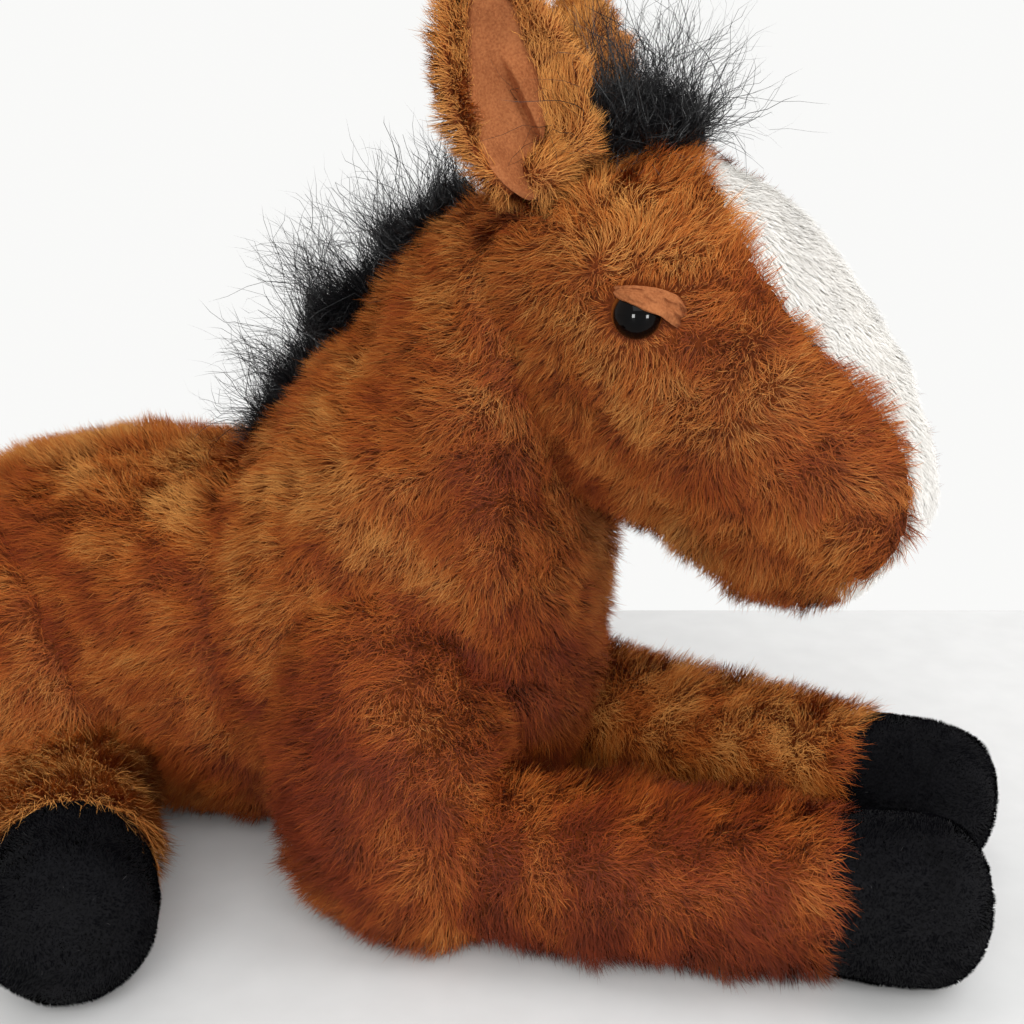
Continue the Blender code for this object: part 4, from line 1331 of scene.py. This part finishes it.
def tail_rings(scale, stop=7):
    centres = []
    for back, drop, width in TAIL_PATH:
        centres.append(TAIL_ROOT + Vector((-back * TAIL_REACH, 0, drop * TAIL_ROOT.z)))
    rings = []
    for index, (back, drop, width) in enumerate(TAIL_PATH[:stop]):
        before, after = centres[max(index - 1, 0)], centres[min(index + 1, len(centres) - 1)]
        heading = (after - before).normalized()
        thick = TAIL_HALF * width * scale
        rings.append((centres[index], ALONG_Y * thick, heading.cross(ALONG_Y).normalized() * thick * 0.72))
    return rings


def make_tail():
    rng = np.random.default_rng(420)
    count = int(12000 * share_grown)
    rings = tail_rings(1.0)
    turn, radius = rng.uniform(0, 2 * math.pi, count), np.sqrt(rng.random(count))
    a, b = radius * np.cos(turn), radius * np.sin(turn)
    knots = np.linspace(0, 1, len(rings))
    start = rng.random(count) ** 2 * 0.35
    stop = np.minimum(start + 0.62 + 0.40 * rng.random(count), 1.02)
    steps = 9
    at = start[:, None] + (stop - start)[:, None] * np.linspace(0, 1, steps)[None, :]
    tables = [np.array([list(ring[k]) for ring in rings]) for k in range(3)]
    curve_of = [np.stack([np.interp(at, knots, table[:, axis]) for axis in range(3)], 2) for table in tables]
    curves = curve_of[0] + curve_of[1] * a[:, None, None] + curve_of[2] * b[:, None, None]
    grow = np.linspace(0, 1, steps)[None, :, None]
    curves = curves + swirl(curves.reshape(-1, 3), 0.022, 160).reshape(curves.shape) * 0.0034 * grow
    curves = curves + np.cumsum(rng.normal(size=curves.shape), 1) * 0.0010 * grow
    curves = clumped(curves, curves[:, 0], 60, 0.35 * rng.uniform(0.2, 1.5, count), rng)
    curves[:, :, 2] = np.maximum(curves[:, :, 2], 0.0006 + 0.0015 * rng.random(count)[:, None])
    widths = 0.00024 * np.linspace(1, 0.45, steps - 1)[None, :] * rng.uniform(0.8, 1.2, count)[:, None]
    outward = unit(curve_of[1][:, 3] * a[:, None] + curve_of[2][:, 3] * b[:, None] + 1e-6)
    strands = (curves, widths, sideways_of(curves, outward, rng, 1.5))
    lay_hair("tail", "tail", np.argsort(a, kind="stable"), 11500, strands, rng)
    core = mesh_object("tail_core", *loft(tail_rings(0.62, 6)), hair_cloth)
    dress(core, "tail", "long_hair", "tail")


make_mane()
make_forelock()
make_tail()


# Camera, light and floor
def look(azimuth, elevation, place, angle):
    a, e = math.radians(azimuth), math.radians(elevation)
    forward = Vector((-math.sin(a) * math.cos(e), math.cos(a) * math.cos(e), -math.sin(e)))
    right = Vector((math.cos(a), math.sin(a), 0))
    matrix = Matrix((right, right.cross(forward), -forward)).transposed().to_4x4()
    matrix.translation = place
    lens = bpy.data.cameras.new("camera")
    lens.angle = math.radians(angle)
    lens.clip_start = 0.01
    made = bpy.data.objects.new("camera", lens)
    made.matrix_world = matrix
    scene.collection.objects.link(made)
    return made, forward


camera, forward = look(20, 17, Vector((0.1887, -0.377, 0.238)), 42)
scene.camera = camera


def area_light(name, place, target, size, power, colour):
    lamp = bpy.data.lights.new(name, "AREA")
    lamp.shape = "RECTANGLE"
    lamp.size, lamp.size_y = size
    lamp.energy = power
    lamp.color = colour
    made = bpy.data.objects.new(name, lamp)
    made.location = place
    made.rotation_euler = (Vector(target) - Vector(place)).to_track_quat("-Z", "Y").to_euler()
    scene.collection.objects.link(made)
    return made


area_light("window", (1.65, -3.30, 2.70), (0, 0, 0.05), (4.5, 3.0), 128, (1.0, 0.99, 0.975))
area_light("room", (0.90, 0.10, 1.30), (0.1, 0, 0.15), (1.0, 1.0), 5.6, (0.99, 0.99, 1.0))

# Two panes whose reflections stand side by side in the near eye
middle, out, nose, brow = eye_seat(-1)
middle = dome_middle(-1)
to_camera = (camera.matrix_world.translation - middle).normalized()
for ahead, up in ((-0.16, 0.0), (0.27, 0.30)):
    facet = (out + nose * ahead + brow * up).normalized()
    toward = facet * 2 * facet.dot(to_camera) - to_camera
    pane = area_light("pane", middle + toward * 0.8, middle, (0.15, 0.19), 6, (1.0, 0.995, 0.98))
    pane.visible_diffuse = False
    pane.visible_camera = False

world = bpy.data.worlds.new("room")
scene.world = world
world.use_nodes = True
tree = world.node_tree
tree.nodes.clear()
link = tree.links.new
light = node_of(tree, "Background", Color=(1.0, 0.985, 0.955, 1), Strength=0.75)
seen = node_of(tree, "Background", Color=(0.95, 0.95, 0.94, 1), Strength=1.0)
path = node_of(tree, "LightPath")
either = math_node(tree, "MAXIMUM")
any_of = math_node(tree, "MAXIMUM")
link(path.outputs["Is Camera Ray"], either.inputs[0])
link(path.outputs["Is Glossy Ray"], either.inputs[1])
link(either.outputs["Value"], any_of.inputs[0])
link(path.outputs["Is Transmission Ray"], any_of.inputs[1])
blend = node_of(tree, "MixShader")
link(any_of.outputs["Value"], blend.inputs["Fac"])
link(light.outputs["Background"], blend.inputs[1])
link(seen.outputs["Background"], blend.inputs[2])
last = node_of(tree, "OutputWorld")
link(blend.outputs["Shader"], last.inputs["Surface"])

table_top = cloth_material("table_top", srgb(222, 223, 224), srgb(228, 229, 230), 60, 0.6, 0.00002)
TABLE_EDGE, TABLE_HALF, TABLE_DEPTH = 0.613, 3, 4
edge = Vector((forward.x, forward.y, 0)).normalized()
side = Vector((edge.y, -edge.x, 0)) * TABLE_HALF
far = camera.matrix_world.translation + edge * TABLE_EDGE
far.z = 0
near = far - edge * TABLE_DEPTH
corners = [tuple(corner) for corner in (far - side, far + side, near + side, near - side)]
floor = mesh_object("table", corners, [(0, 1, 2, 3)], table_top, False)
scene.view_settings.view_transform = "Standard"
